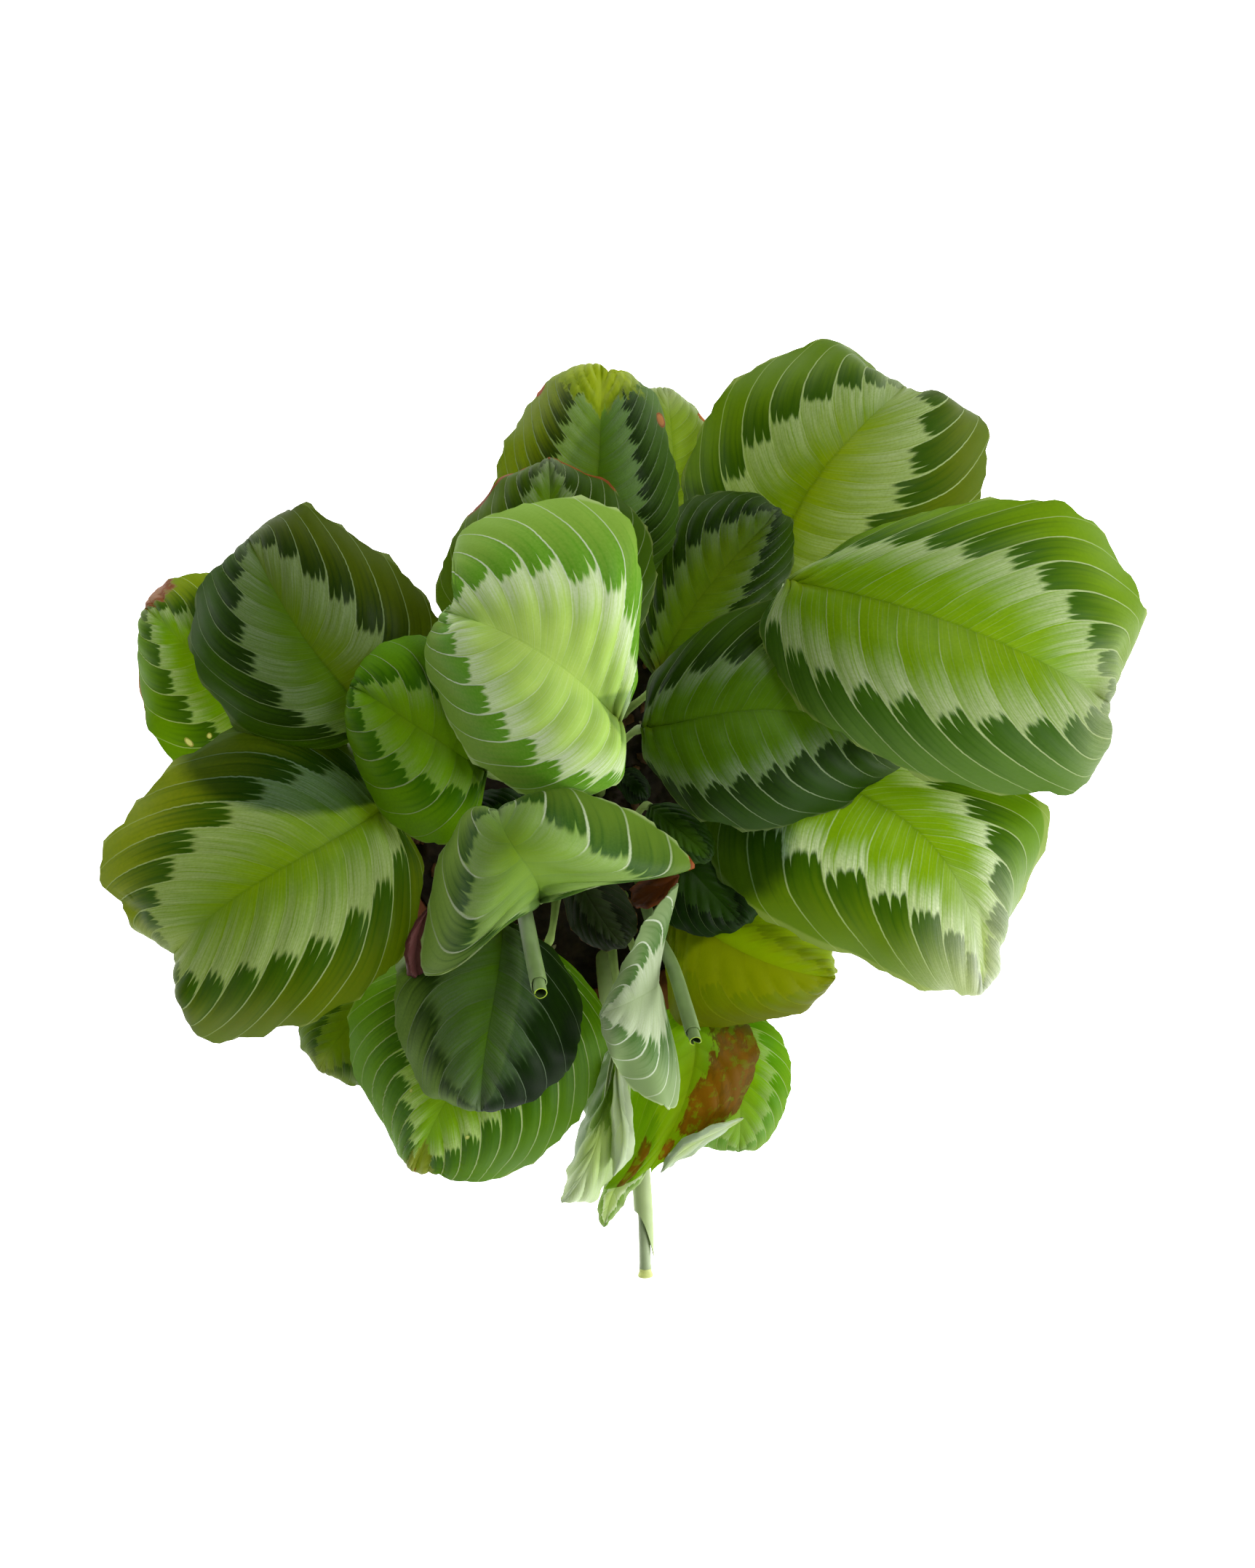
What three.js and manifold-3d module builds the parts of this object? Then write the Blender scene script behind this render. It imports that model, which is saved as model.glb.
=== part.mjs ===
// A prayer plant (maranta) standing in a plain terracotta pot.
// Units are millimetres and +Z is up. The origin is the centre of the pot's underside.
// Seen from above, +X is to the right and +Y is to the top.

import * as THREE from 'three';
import { mergeVertices } from 'three/addons/utils/BufferGeometryUtils.js';
import Module from 'manifold-3d';

const wasm = await Module();
wasm.setup();

// ---------------------------------------------------------------- driving dimensions

const POT = {
  height: 120,
  baseRadius: 46,
  bodyTopRadius: 62,
  rimRadius: 70,
  rimHeight: 24,
  wall: 6,
  floor: 8,
  edgeRound: 2,
  drainHoles: 4,
  rimTaper: 1,
  drainRadius: 4,
  drainCircle: 24,
  drainSides: 10,
  sides: 40,
};

const SOIL = {
  top: 106,
  clearance: 0.3,
  mound: 3,
  rings: 5,
  sides: 30,
};

const HOLE = { radius: 2.7, depth: 10.4, sides: 7 };

// waves: how many waves run along a margin; waveShift: how far they lead from margin to margin
// crowding: below 1 the columns stand closer towards the margins
const BLADE = { thickness: 0.7, rows: 9, halfColumns: 3, crowding: 0.9, waves: 3.5, waveShift: 2 };

// intoBlade: share of the midrib that the stalk runs along
// backward, below: where the stalk comes from as it meets the blade
// upright: share of the climb made straight up
const PETIOLE = {
  sunk: 10,
  footRadius: 1.9,
  tipRadius: 1.1,
  sides: 6,
  steps: 11,
  bends: 5,
  intoBlade: 0.1,
  backward: 5,
  below: 10,
  upright: 0.45,
};

const COLOURS = {
  terracotta: 0xa0573a,
  soil: 0x2b1d14,
  dark: 0x1f4a24,
  middle: 0x3d7a22,
  bright: 0x6fae35,
  pale: 0xb4cfa0,
  olive: 0x8f9a20,
  stem: 0xa9c46c,
};

const ROUGHNESS = { plant: 0.5, pot: 0.85, soil: 0.95 };

// Vertices closer than this are one vertex.
const WELD = 1e-4;

// How far a cutting tool runs past the face that it cuts.
const OVERRUN = 1;

// Steps in u and v for slopes, and how far from a blade's ends and margins they are taken.
const SLOPE = { step: 0.02, fromEnd: 0.05, fromMargin: 0.03 };

// ---------------------------------------------------------------- leaves
// foot:   where the petiole stands in the soil [x, y]
// spine:  the midrib from the blade's base to its tip, four points at equal steps
// left:   four points of the margin left of the midrib, between the base and the tip
// right:  the same on the right
// bulge:  how far the left and the right half arch above a straight line from midrib to margin
// wave:   height of the margin's waves
// stalk:  where a petiole has to find its own way between others, points on it from foot to blade

const LEAVES = [
  { name: 'leaf_upper_right', tone: 'middle', foot: [27, 34], bulge: [4, 5], wave: 1.2,
    spine: [[59, 65, 162], [62, 83, 176], [75, 101, 183], [93, 119, 165]],
    left: [[37, 72, 154], [31, 94, 160], [44, 120, 166], [72, 133, 162]],
    right: [[74, 56, 160], [98, 65, 167], [115, 84, 166], [116, 112, 157]] },
  { name: 'leaf_right', tone: 'bright', foot: [21, 22], bulge: [5, 6], wave: 1.4,
    spine: [[58, 61, 201], [86, 54, 214], [117, 43, 210], [147, 29, 187]],
    left: [[73, 72, 199], [100, 81, 203], [135, 82, 198], [157, 56, 185]],
    right: [[51, 47, 200], [64, 25, 203], [97, 8, 198], [139, 3, 184]],
    stalk: [[27, 28, 124], [45, 43, 148], [59, 57, 170]] },
  { name: 'leaf_lower_right', tone: 'bright', foot: [33, 4], bulge: [4, 5], wave: 1.3,
    spine: [[59, 12, 166], [81, 3, 177], [104, -16, 176], [116, -54, 155]],
    left: [[76, 23, 163], [111, 14, 170], [133, -4, 165], [124, -32, 156]],
    right: [[36, -4, 160], [48, -27, 163], [79, -43, 160], [105, -53, 152]] },
  { name: 'leaf_centre_right', tone: 'dark', foot: [10, 15], bulge: [4, 5], wave: 1,
    spine: [[19, 22, 188], [37, 25, 197], [61, 26, 195], [91, 12, 180]],
    left: [[21, 35, 185], [39, 51, 187], [64, 57, 187], [88, 37, 181]],
    right: [[20, 13, 182], [33, -2, 183], [54, -6, 182], [77, 2, 177]] },
  { name: 'leaf_centre_top', tone: 'dark', foot: [13, 28], bulge: [3, 3], wave: 0.8,
    spine: [[23, 36, 166], [31, 53, 176], [43, 68, 182], [57, 83, 180]],
    left: [[17, 48, 162], [19, 66, 168], [27, 84, 171], [44, 89, 174]],
    right: [[34, 40, 160], [49, 50, 166], [58, 62, 173], [61, 76, 178]] },
  { name: 'leaf_top', tone: 'dark', foot: [2, 40], bulge: [4, 4], wave: 1,
    spine: [[5, 68, 172], [6, 85, 182], [7, 103, 184], [7, 125, 166]],
    left: [[-12, 72, 167], [-24, 86, 170], [-18, 106, 170], [-8, 122, 163]],
    right: [[20, 65, 172], [29, 79, 180], [27, 100, 177], [20, 119, 166]] },
  { name: 'leaf_behind_centre', tone: 'middle', foot: [-5, 22], bulge: [4, 4], wave: 0.8,
    spine: [[-5, 30, 186], [-5, 52, 197], [-6, 73, 198], [-7, 96, 189]],
    left: [[-21, 36, 182], [-37, 56, 187], [-32, 75, 189], [-20, 91, 186]],
    right: [[14, 42, 184], [22, 62, 191], [19, 77, 193], [7, 90, 190]] },
  { name: 'leaf_centre_light', tone: 'bright', foot: [3, 12], bulge: [6, 5], wave: 1.2,
    spine: [[12, 23, 204], [-1, 36, 213], [-17, 46, 214], [-35, 53, 202]],
    left: [[12, 8, 197], [-9, 2, 197], [-30, 16, 197], [-41, 41, 195]],
    right: [[18, 41, 201], [19, 75, 204], [-8, 84, 203], [-32, 73, 199]] },
  { name: 'leaf_left_inner', tone: 'middle', foot: [-12, 5], bulge: [4, 4], wave: 0.9,
    spine: [[-25, 10, 184], [-37, 18, 191], [-49, 26, 191], [-62, 34, 183]],
    left: [[-28, -4, 178], [-41, -10, 178], [-56, 1, 178], [-64, 19, 178]],
    right: [[-20, 24, 181], [-28, 42, 185], [-42, 48, 186], [-58, 43, 182]] },
  { name: 'leaf_left_dark', tone: 'dark', foot: [-26, 14], bulge: [4, 5], wave: 1.2,
    spine: [[-56, 22, 165], [-68, 37, 176], [-79, 52, 179], [-93, 76, 164]],
    left: [[-70, 17, 163], [-92, 21, 166], [-109, 43, 166], [-107, 67, 160]],
    right: [[-40, 30, 164], [-38, 52, 169], [-56, 72, 169], [-80, 86, 162]] },
  { name: 'leaf_left_back', tone: 'bright', foot: [-37, 19], bulge: [3, 3], wave: 1.2,
    spine: [[-83, 20, 147], [-96, 32, 156], [-111, 45, 156], [-126, 58, 143]],
    left: [[-92, 8, 143], [-113, 8, 147], [-126, 25, 147], [-129, 46, 142]],
    right: [[-79, 38, 145], [-88, 59, 150], [-104, 69, 150], [-120, 66, 143]] },
  { name: 'leaf_left_large', tone: 'bright', foot: [-25, -3], bulge: [5, 5], wave: 1.5,
    spine: [[-54, 0, 168], [-71, -11, 179], [-93, -24, 179], [-115, -42, 158]],
    left: [[-44, -18, 163], [-53, -47, 166], [-81, -64, 162], [-110, -68, 150]],
    right: [[-71, 14, 157], [-96, 16, 161], [-125, 0, 160], [-138, -25, 151]] },
  { name: 'leaf_left_low', tone: 'dark', foot: [-30, -28], bulge: [2, 2], wave: 0.6,
    spine: [[-53, -51, 139], [-61, -59, 145], [-70, -68, 144], [-76, -78, 137]],
    left: [[-49, -63, 136], [-53, -74, 138], [-61, -82, 137], [-68, -82, 135]],
    right: [[-65, -50, 137], [-76, -56, 139], [-82, -64, 138], [-81, -72, 135]] },
  { name: 'leaf_bottom_light', tone: 'bright', foot: [-7, -27], bulge: [4, 4], wave: 1.3,
    spine: [[-9, -41, 150], [-21, -59, 163], [-35, -80, 163], [-48, -107, 140]],
    left: [[5, -55, 146], [10, -73, 152], [-3, -97, 148], [-28, -111, 140]],
    right: [[-32, -38, 150], [-59, -50, 154], [-67, -70, 150], [-56, -97, 140]] },
  { name: 'leaf_bottom_dark', tone: 'dark', foot: [-15, -17], bulge: [3, 3], wave: 0.9,
    spine: [[-21, -32, 166], [-22, -49, 179], [-25, -67, 180], [-27, -86, 167]],
    left: [[-7, -41, 163], [2, -57, 168], [-1, -74, 169], [-12, -84, 166]],
    right: [[-40, -38, 163], [-51, -50, 168], [-49, -70, 169], [-40, -83, 166]] },
  { name: 'leaf_arched', tone: 'middle', foot: [-5, -14], bulge: [8, 9], wave: 1.4,
    spine: [[-10, -26, 186], [-11, -18, 205], [-16, -10, 214], [-20, -1, 208]],
    left: [[-23, -35, 192], [-42, -48, 178], [-40, -22, 182], [-30, -3, 196]],
    right: [[2, -22, 197], [32, -17, 182], [20, -4, 192], [-2, 5, 203]] },
  { name: 'leaf_folded', tone: 'pale', foot: [13, -28], bulge: [3, 3], wave: 1.2,
    spine: [[22, -50, 158], [23, -50, 174], [18, -52, 190], [7, -57, 192]],
    left: [[25, -64, 170], [29, -83, 176], [20, -81, 184], [10, -69, 190]],
    right: [[22, -39, 170], [28, -19, 178], [19, -28, 186], [13, -43, 190]],
    stalk: [[13, -32, 122], [17, -44, 141]] },
  { name: 'leaf_olive', tone: 'olive', foot: [24, -17], bulge: [3, 3], wave: 0.8,
    spine: [[28, -28, 142], [40, -38, 150], [57, -46, 152], [75, -50, 144]],
    left: [[35, -23, 141], [51, -26, 145], [62, -32, 148], [74, -41, 144]],
    right: [[26, -45, 138], [29, -63, 140], [48, -65, 141], [67, -60, 140]] },
  { name: 'leaf_dark_low_right', tone: 'dark', foot: [21, -10], bulge: [2, 2], wave: 0.7,
    spine: [[23, -6, 151], [30, -15, 158], [38, -24, 159], [48, -34, 155]],
    left: [[35, -2, 150], [45, -11, 153], [53, -22, 154], [52, -31, 154]],
    right: [[19, -17, 150], [22, -29, 153], [30, -36, 154], [40, -37, 153]] },
  { name: 'leaf_hanging', tone: 'olive', foot: [21, -37], bulge: [2, 3], wave: 1.2,
    spine: [[33, -60, 133], [34, -76, 140], [26, -99, 135], [7, -128, 116]],
    left: [[49, -64, 131], [52, -78, 135], [41, -97, 130], [18, -115, 120]],
    right: [[23, -63, 132], [15, -80, 136], [15, -102, 131], [7, -116, 122]] },
  { name: 'leaf_low_bright', tone: 'bright', foot: [28, -42], bulge: [2, 2], wave: 0.8,
    spine: [[41, -64, 127], [46, -75, 130], [48, -88, 129], [48, -104, 121]],
    left: [[55, -63, 124], [64, -74, 126], [64, -88, 125], [58, -101, 120]],
    right: [[34, -70, 124], [31, -83, 126], [32, -96, 125], [38, -103, 120]],
    stalk: [[30, -46, 118], [35, -54, 127]] },
  { name: 'leaf_drooping', tone: 'pale', foot: [9, -38], bulge: [2, 2], wave: 1,
    spine: [[12, -69, 150], [9, -82, 152], [5, -100, 144], [-5, -118, 129]],
    left: [[15, -80, 139], [14, -98, 132], [10, -109, 128], [4, -118, 125]],
    right: [[7, -77, 143], [3, -87, 140], [0, -97, 135], [-3, -109, 130]] },
  { name: 'leaf_top_small', tone: 'bright', foot: [14, 42], bulge: [2, 2], wave: 0.8,
    spine: [[28, 82, 148], [28, 95, 156], [27, 109, 156], [26, 121, 149]],
    left: [[18, 83, 145], [15, 97, 150], [15, 111, 150], [19, 121, 147]],
    right: [[36, 84, 144], [41, 95, 148], [41, 107, 148], [34, 117, 147]] },
  { name: 'leaf_ragged', tone: 'dark', foot: [-10, -5], bulge: [1, 1], wave: 0.8,
    spine: [[-11, -4, 168], [-19, -3, 173], [-27, -3, 173], [-35, -4, 168]],
    left: [[-14, -11, 166], [-21, -13, 169], [-29, -12, 169], [-34, -8, 168]],
    right: [[-13, 3, 166], [-19, 5, 169], [-27, 4, 169], [-33, 0, 168]] },
  { name: 'leaf_small_centre', tone: 'dark', foot: [6, 4], bulge: [1, 1], wave: 0.3,
    spine: [[12, 10, 138], [15, 7, 143], [18, 5, 144], [20, 2, 141]],
    left: [[16, 11, 138], [19, 9, 141], [21, 6, 141], [21, 4, 140]],
    right: [[11, 7, 138], [13, 4, 141], [15, 1, 141], [18, 1, 140]] },
  { name: 'leaf_small_right', tone: 'bright', foot: [16, -6], bulge: [1, 1], wave: 0.4,
    spine: [[21, 0, 165], [26, -4, 170], [32, -9, 170], [38, -15, 167]],
    left: [[26, 1, 165], [32, -1, 168], [37, -6, 168], [39, -11, 167]],
    right: [[20, -5, 165], [24, -10, 168], [28, -14, 168], [34, -16, 167]] },
  { name: 'leaf_small_low', tone: 'dark', foot: [3, -8], bulge: [1, 1], wave: 0.5,
    spine: [[-1, -20, 144], [3, -26, 150], [8, -34, 151], [14, -41, 147]],
    left: [[7, -20, 143], [13, -25, 146], [17, -32, 147], [17, -37, 146]],
    right: [[-4, -26, 143], [-2, -35, 146], [3, -40, 147], [9, -42, 146]] },
];

// New leaves still rolled into a tube, and the cut end of a stem that leans out over the rim.
// path: points along the axis; radii: its radius at the foot, where it widens and at its end.

const ROLLED_LEAVES = [
  { name: 'rolled_leaf_left',
    path: [[-13, -8, 96], [-13, -10, 118], [-19, -18, 142], [-15, -28, 172], [-12, -39, 190], [-9, -50, 204]],
    radii: [1.6, 1.7, 2.2] },
  { name: 'rolled_leaf_right',
    path: [[18, -22, 96], [18, -23, 112], [22, -36, 144], [27, -45, 165], [30, -54, 181], [33, -64, 194]],
    radii: [1.6, 1.3, 2.1] },
];

const CUT_STEM = {
  name: 'cut_stem',
  path: [[8, -46, 96], [8, -48, 110], [9, -57, 121], [11, -68, 125], [16, -90, 121], [19, -117, 117],
    [20, -143, 113]],
  radii: [1.8, 2.2, 1.9],
};

const ROLL = { sides: 8, steps: 12, boreShare: 0.55, boreDepth: 7 };

// ---------------------------------------------------------------- solids

// A closed geometry as a solid that can be joined and cut.
function solid(geometry) {
  const bare = geometry.clone();
  bare.deleteAttribute('normal');
  bare.deleteAttribute('uv');
  const merged = mergeVertices(bare, WELD);
  return new wasm.Manifold(new wasm.Mesh({
    numProp: 3,
    vertProperties: Float32Array.from(merged.attributes.position.array),
    triVerts: Uint32Array.from(merged.index.array),
  }));
}

function geometryOf(body) {
  const mesh = body.getMesh();
  const geometry = new THREE.BufferGeometry();
  geometry.setAttribute('position', new THREE.BufferAttribute(Float32Array.from(mesh.vertProperties), 3));
  geometry.setIndex(Array.from(mesh.triVerts));
  return geometry;
}

function indexed(points, triangles) {
  const geometry = new THREE.BufferGeometry();
  geometry.setAttribute('position', new THREE.Float32BufferAttribute(points.flatMap((p) => p.toArray()), 3));
  geometry.setIndex(triangles.flat());
  return geometry;
}

function named(name, geometry, colour, roughness) {
  const material = new THREE.MeshStandardMaterial({ color: colour, roughness, metalness: 0 });
  material.side = THREE.DoubleSide;
  const mesh = new THREE.Mesh(geometry, material);
  mesh.name = name;
  return mesh;
}

// A round rod along a smooth curve through points, its radius following a list of values.
function rod(points, radii, sides, steps) {
  const curve = new THREE.CatmullRomCurve3(points);
  const frames = curve.computeFrenetFrames(steps, false);
  const ring = (i, radius) => {
    const centre = curve.getPointAt(i / steps);
    return Array.from({ length: sides }, (_, k) => {
      const angle = (2 * Math.PI * k) / sides;
      return centre.clone()
        .addScaledVector(frames.normals[i], radius * Math.cos(angle))
        .addScaledVector(frames.binormals[i], radius * Math.sin(angle));
    });
  };
  const vertices = [];
  for (let i = 0; i <= steps; i += 1) {
    const place = (i / steps) * (radii.length - 1);
    const low = Math.min(Math.floor(place), radii.length - 2);
    vertices.push(...ring(i, THREE.MathUtils.lerp(radii[low], radii[low + 1], place - low)));
  }
  const first = vertices.push(curve.getPointAt(0)) - 1;
  const last = vertices.push(curve.getPointAt(1)) - 1;
  const triangles = [];
  for (let k = 0; k < sides; k += 1) {
    const next = (k + 1) % sides;
    for (let i = 0; i < steps; i += 1) {
      const a = i * sides;
      const b = a + sides;
      triangles.push([a + k, a + next, b + next], [a + k, b + next, b + k]);
    }
    triangles.push([first, next, k], [last, steps * sides + k, steps * sides + next]);
  }
  return indexed(vertices, triangles);
}

// ---------------------------------------------------------------- blade surface

// The cubic through four points that stand at equal steps of u.
function spinePoint(spine, u) {
  const a = 3 * u - 1;
  const b = 3 * u - 2;
  const c = u - 1;
  const weights = [-0.5 * a * b * c, 4.5 * u * b * c, -4.5 * u * a * c, 0.5 * u * a * b];
  const point = new THREE.Vector3();
  spine.forEach((p, i) => point.addScaledVector(new THREE.Vector3(...p), weights[i]));
  return point;
}

// The margin on one side: a smooth curve from the base through its four points to the tip.
function marginPoint(leaf, side, u) {
  const knots = [leaf.spine[0], ...leaf[side], leaf.spine[3]].map((p) => new THREE.Vector3(...p));
  const place = THREE.MathUtils.clamp(u, 0, 1) * (knots.length - 1);
  const i = Math.min(Math.floor(place), knots.length - 2);
  const before = knots[Math.max(i - 1, 0)];
  const after = knots[Math.min(i + 2, knots.length - 1)];
  const t = place - i;
  const startSlope = knots[i + 1].clone().sub(before).multiplyScalar(0.5);
  const endSlope = after.clone().sub(knots[i]).multiplyScalar(0.5);
  const point = knots[i].clone().multiplyScalar(2 * t ** 3 - 3 * t ** 2 + 1);
  point.addScaledVector(startSlope, t ** 3 - 2 * t ** 2 + t);
  point.addScaledVector(knots[i + 1], -2 * t ** 3 + 3 * t ** 2);
  return point.addScaledVector(endSlope, t ** 3 - t ** 2);
}

// The middle surface of a blade: u runs from base to tip, v from -1 (right margin) to 1 (left margin).
function bladePoint(leaf, u, v) {
  const inner = THREE.MathUtils.clamp(u, SLOPE.fromEnd, 1 - SLOPE.fromEnd);
  const ahead = spinePoint(leaf.spine, inner + SLOPE.step);
  const along = ahead.sub(spinePoint(leaf.spine, inner - SLOPE.step));
  const across = marginPoint(leaf, 'left', inner).sub(marginPoint(leaf, 'right', inner));
  const up = along.cross(across).normalize();
  const reach = Math.abs(v);
  const side = v < 0 ? 'right' : 'left';
  const ends = Math.sqrt(Math.max(4 * u * (1 - u), 0));
  const arch = 4 * leaf.bulge[v < 0 ? 1 : 0] * ends * reach * (1 - reach);
  const ripple = Math.sin(2 * Math.PI * BLADE.waves * u + BLADE.waveShift * v);
  const waving = leaf.wave * ends * reach ** 3 * ripple;
  return spinePoint(leaf.spine, u)
    .lerp(marginPoint(leaf, side, u), reach)
    .addScaledVector(up, arch + waving);
}

// The same point moved off the middle surface along the blade's own normal.
function bladeFace(leaf, u, v, offset) {
  const { step } = SLOPE;
  const uMid = THREE.MathUtils.clamp(u, SLOPE.fromEnd, 1 - SLOPE.fromEnd);
  const vMid = THREE.MathUtils.clamp(v, SLOPE.fromMargin - 1, 1 - SLOPE.fromMargin);
  const alongU = bladePoint(leaf, uMid + step, vMid).sub(bladePoint(leaf, uMid - step, vMid));
  const alongV = bladePoint(leaf, uMid, vMid + step).sub(bladePoint(leaf, uMid, vMid - step));
  return bladePoint(leaf, u, v).addScaledVector(alongU.cross(alongV).normalize(), offset);
}

// Rows of vertices between two end points, split alike on both faces, and closed by a thin wall.
function bladeGeometry(leaf) {
  const columns = 2 * BLADE.halfColumns;
  const last = BLADE.rows;
  const vertices = [];
  const layer = (offset) => {
    const start = vertices.length;
    vertices.push(bladeFace(leaf, 0, 0, offset));
    for (let i = 1; i < last; i += 1) {
      const u = (1 - Math.cos((Math.PI * i) / last)) / 2;
      for (let j = 0; j <= columns; j += 1) {
        const share = (j - BLADE.halfColumns) / BLADE.halfColumns;
        const v = Math.sign(share) * Math.abs(share) ** BLADE.crowding;
        vertices.push(bladeFace(leaf, u, v, offset));
      }
    }
    vertices.push(bladeFace(leaf, 1, 0, offset));
    return start;
  };
  const top = layer(BLADE.thickness / 2);
  const under = layer(-BLADE.thickness / 2);
  const at = (i, j) => {
    if (i === 0) return 0;
    if (i === last) return 1 + (last - 1) * (columns + 1);
    return 1 + (i - 1) * (columns + 1) + j;
  };
  const cells = [];
  for (let i = 0; i < last; i += 1) {
    for (let j = 0; j < columns; j += 1) {
      if (i < last - 1) cells.push([at(i, j), at(i + 1, j), at(i + 1, j + 1)]);
      if (i > 0) cells.push([at(i, j), at(i + 1, j + 1), at(i, j + 1)]);
    }
  }
  const triangles = [];
  cells.forEach(([a, b, c]) => {
    triangles.push([top + a, top + b, top + c], [under + a, under + c, under + b]);
  });
  for (let i = 0; i < last; i += 1) {
    const right = [at(i, 0), at(i + 1, 0)];
    const left = [at(i + 1, columns), at(i, columns)];
    [right, left].forEach(([a, b]) => {
      triangles.push([top + b, top + a, under + a], [top + b, under + a, under + b]);
    });
  }
  return indexed(vertices, triangles);
}

// ---------------------------------------------------------------- leaf with its petiole

function petiolePoints(leaf) {
  const [x, y] = leaf.foot;
  const base = spinePoint(leaf.spine, 0);
  const rib = spinePoint(leaf.spine, PETIOLE.intoBlade);
  const along = rib.clone().sub(base).normalize();
  const arrival = base.clone().addScaledVector(along, -PETIOLE.backward);
  arrival.z -= PETIOLE.below;
  const start = new THREE.Vector3(x, y, SOIL.top);
  const lifted = start.clone();
  lifted.z += (base.z - SOIL.top) * PETIOLE.upright;
  const arc = new THREE.CubicBezierCurve3(start, lifted, arrival, base);
  const sunk = new THREE.Vector3(x, y, SOIL.top - PETIOLE.sunk);
  const way = leaf.stalk?.map((p) => new THREE.Vector3(...p));
  return way ? [sunk, start, ...way, base, rib] : [sunk, ...arc.getPoints(PETIOLE.bends), rib];
}

// Blade and stalk grown together; joining can leave a speck, and only the leaf itself is kept.
function leafMesh(leaf) {
  const radii = [PETIOLE.footRadius, PETIOLE.tipRadius];
  const stalk = rod(petiolePoints(leaf), radii, PETIOLE.sides, PETIOLE.steps);
  const joined = solid(bladeGeometry(leaf)).add(solid(stalk));
  const [whole] = joined.decompose().sort((a, b) => b.volume() - a.volume());
  return named(leaf.name, geometryOf(whole), COLOURS[leaf.tone], ROUGHNESS.plant);
}

function rolledLeafMesh(leaf) {
  const points = leaf.path.map((p) => new THREE.Vector3(...p));
  const body = solid(rod(points, leaf.radii, ROLL.sides, ROLL.steps));
  const tip = points[points.length - 1];
  const axis = tip.clone().sub(points[points.length - 2]).normalize();
  const radius = leaf.radii[leaf.radii.length - 1] * ROLL.boreShare;
  const deep = tip.clone().addScaledVector(axis, -ROLL.boreDepth);
  const clear = tip.clone().addScaledVector(axis, OVERRUN);
  const bore = solid(rod([deep, clear], [radius, radius], ROLL.sides, 1));
  return named(leaf.name, geometryOf(body.subtract(bore)), COLOURS.pale, ROUGHNESS.plant);
}

function cutStemMesh() {
  const points = CUT_STEM.path.map((p) => new THREE.Vector3(...p));
  const stem = rod(points, CUT_STEM.radii, ROLL.sides, ROLL.steps);
  return named(CUT_STEM.name, stem, COLOURS.stem, ROUGHNESS.plant);
}

// ---------------------------------------------------------------- pot and soil

// Wall radius of the pot's inside at a height.
function insideRadius(z) {
  const share = z / (POT.height - POT.rimHeight);
  return THREE.MathUtils.lerp(POT.baseRadius, POT.bodyTopRadius, share) - POT.wall;
}

function verticalRod(x, y, bottom, top, radius, sides) {
  const cylinder = new THREE.CylinderGeometry(radius, radius, top - bottom, sides);
  cylinder.rotateX(Math.PI / 2);
  cylinder.translate(x, y, (top + bottom) / 2);
  return solid(cylinder);
}

function potMesh() {
  const shoulder = POT.height - POT.rimHeight;
  const round = POT.edgeRound;
  const outline = [
    [0, 0], [POT.baseRadius - round, 0], [POT.baseRadius, round],
    [POT.bodyTopRadius, shoulder], [POT.rimRadius - round, shoulder],
    [POT.rimRadius - POT.rimTaper, shoulder + round],
    [POT.rimRadius, POT.height - round], [POT.rimRadius - round, POT.height],
    [insideRadius(POT.height) + round, POT.height], [insideRadius(POT.height), POT.height - round],
    [insideRadius(POT.floor), POT.floor], [0, POT.floor],
  ];
  const profile = outline.map(([r, z]) => new THREE.Vector2(r, z));
  const lathe = new THREE.LatheGeometry(profile, POT.sides);
  lathe.rotateX(Math.PI / 2);
  let body = solid(lathe);
  for (let k = 0; k < POT.drainHoles; k += 1) {
    const angle = (2 * Math.PI * (k + 0.5)) / POT.drainHoles;
    const x = POT.drainCircle * Math.cos(angle);
    const y = POT.drainCircle * Math.sin(angle);
    const hole = verticalRod(x, y, -OVERRUN, POT.floor + OVERRUN, POT.drainRadius, POT.drainSides);
    body = body.subtract(hole);
  }
  return named('pot', geometryOf(body), COLOURS.terracotta, ROUGHNESS.pot);
}

// A slightly mounded fill, cut by one plain hole for each stalk.
function soilMesh(feet) {
  const gap = 2 * SOIL.clearance;
  const bottom = POT.floor + SOIL.clearance;
  const edge = SOIL.top - SOIL.mound;
  const edgeRadius = insideRadius(edge) - gap;
  const profile = [[0, bottom], [insideRadius(bottom) - gap, bottom], [edgeRadius, edge]];
  for (let k = SOIL.rings - 1; k >= 0; k -= 1) {
    const share = k / SOIL.rings;
    profile.push([edgeRadius * share, SOIL.top - SOIL.mound * share * share]);
  }
  const lathe = new THREE.LatheGeometry(profile.map(([r, z]) => new THREE.Vector2(r, z)), SOIL.sides);
  lathe.rotateX(Math.PI / 2);
  let body = solid(lathe);
  feet.forEach(([x, y]) => {
    const bottomOfHole = SOIL.top - HOLE.depth;
    body = body.subtract(verticalRod(x, y, bottomOfHole, SOIL.top + OVERRUN, HOLE.radius, HOLE.sides));
  });
  return named('soil', geometryOf(body), COLOURS.soil, ROUGHNESS.soil);
}

// ---------------------------------------------------------------- the whole plant

const plant = new THREE.Group();
plant.name = 'prayer_plant';

const rodFeet = [...ROLLED_LEAVES, CUT_STEM].map((part) => part.path[0].slice(0, 2));
plant.add(potMesh());
plant.add(soilMesh([...LEAVES.map((leaf) => leaf.foot), ...rodFeet]));
LEAVES.forEach((leaf) => plant.add(leafMesh(leaf)));
ROLLED_LEAVES.forEach((leaf) => plant.add(rolledLeafMesh(leaf)));
plant.add(cutStemMesh());

export default plant;
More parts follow.
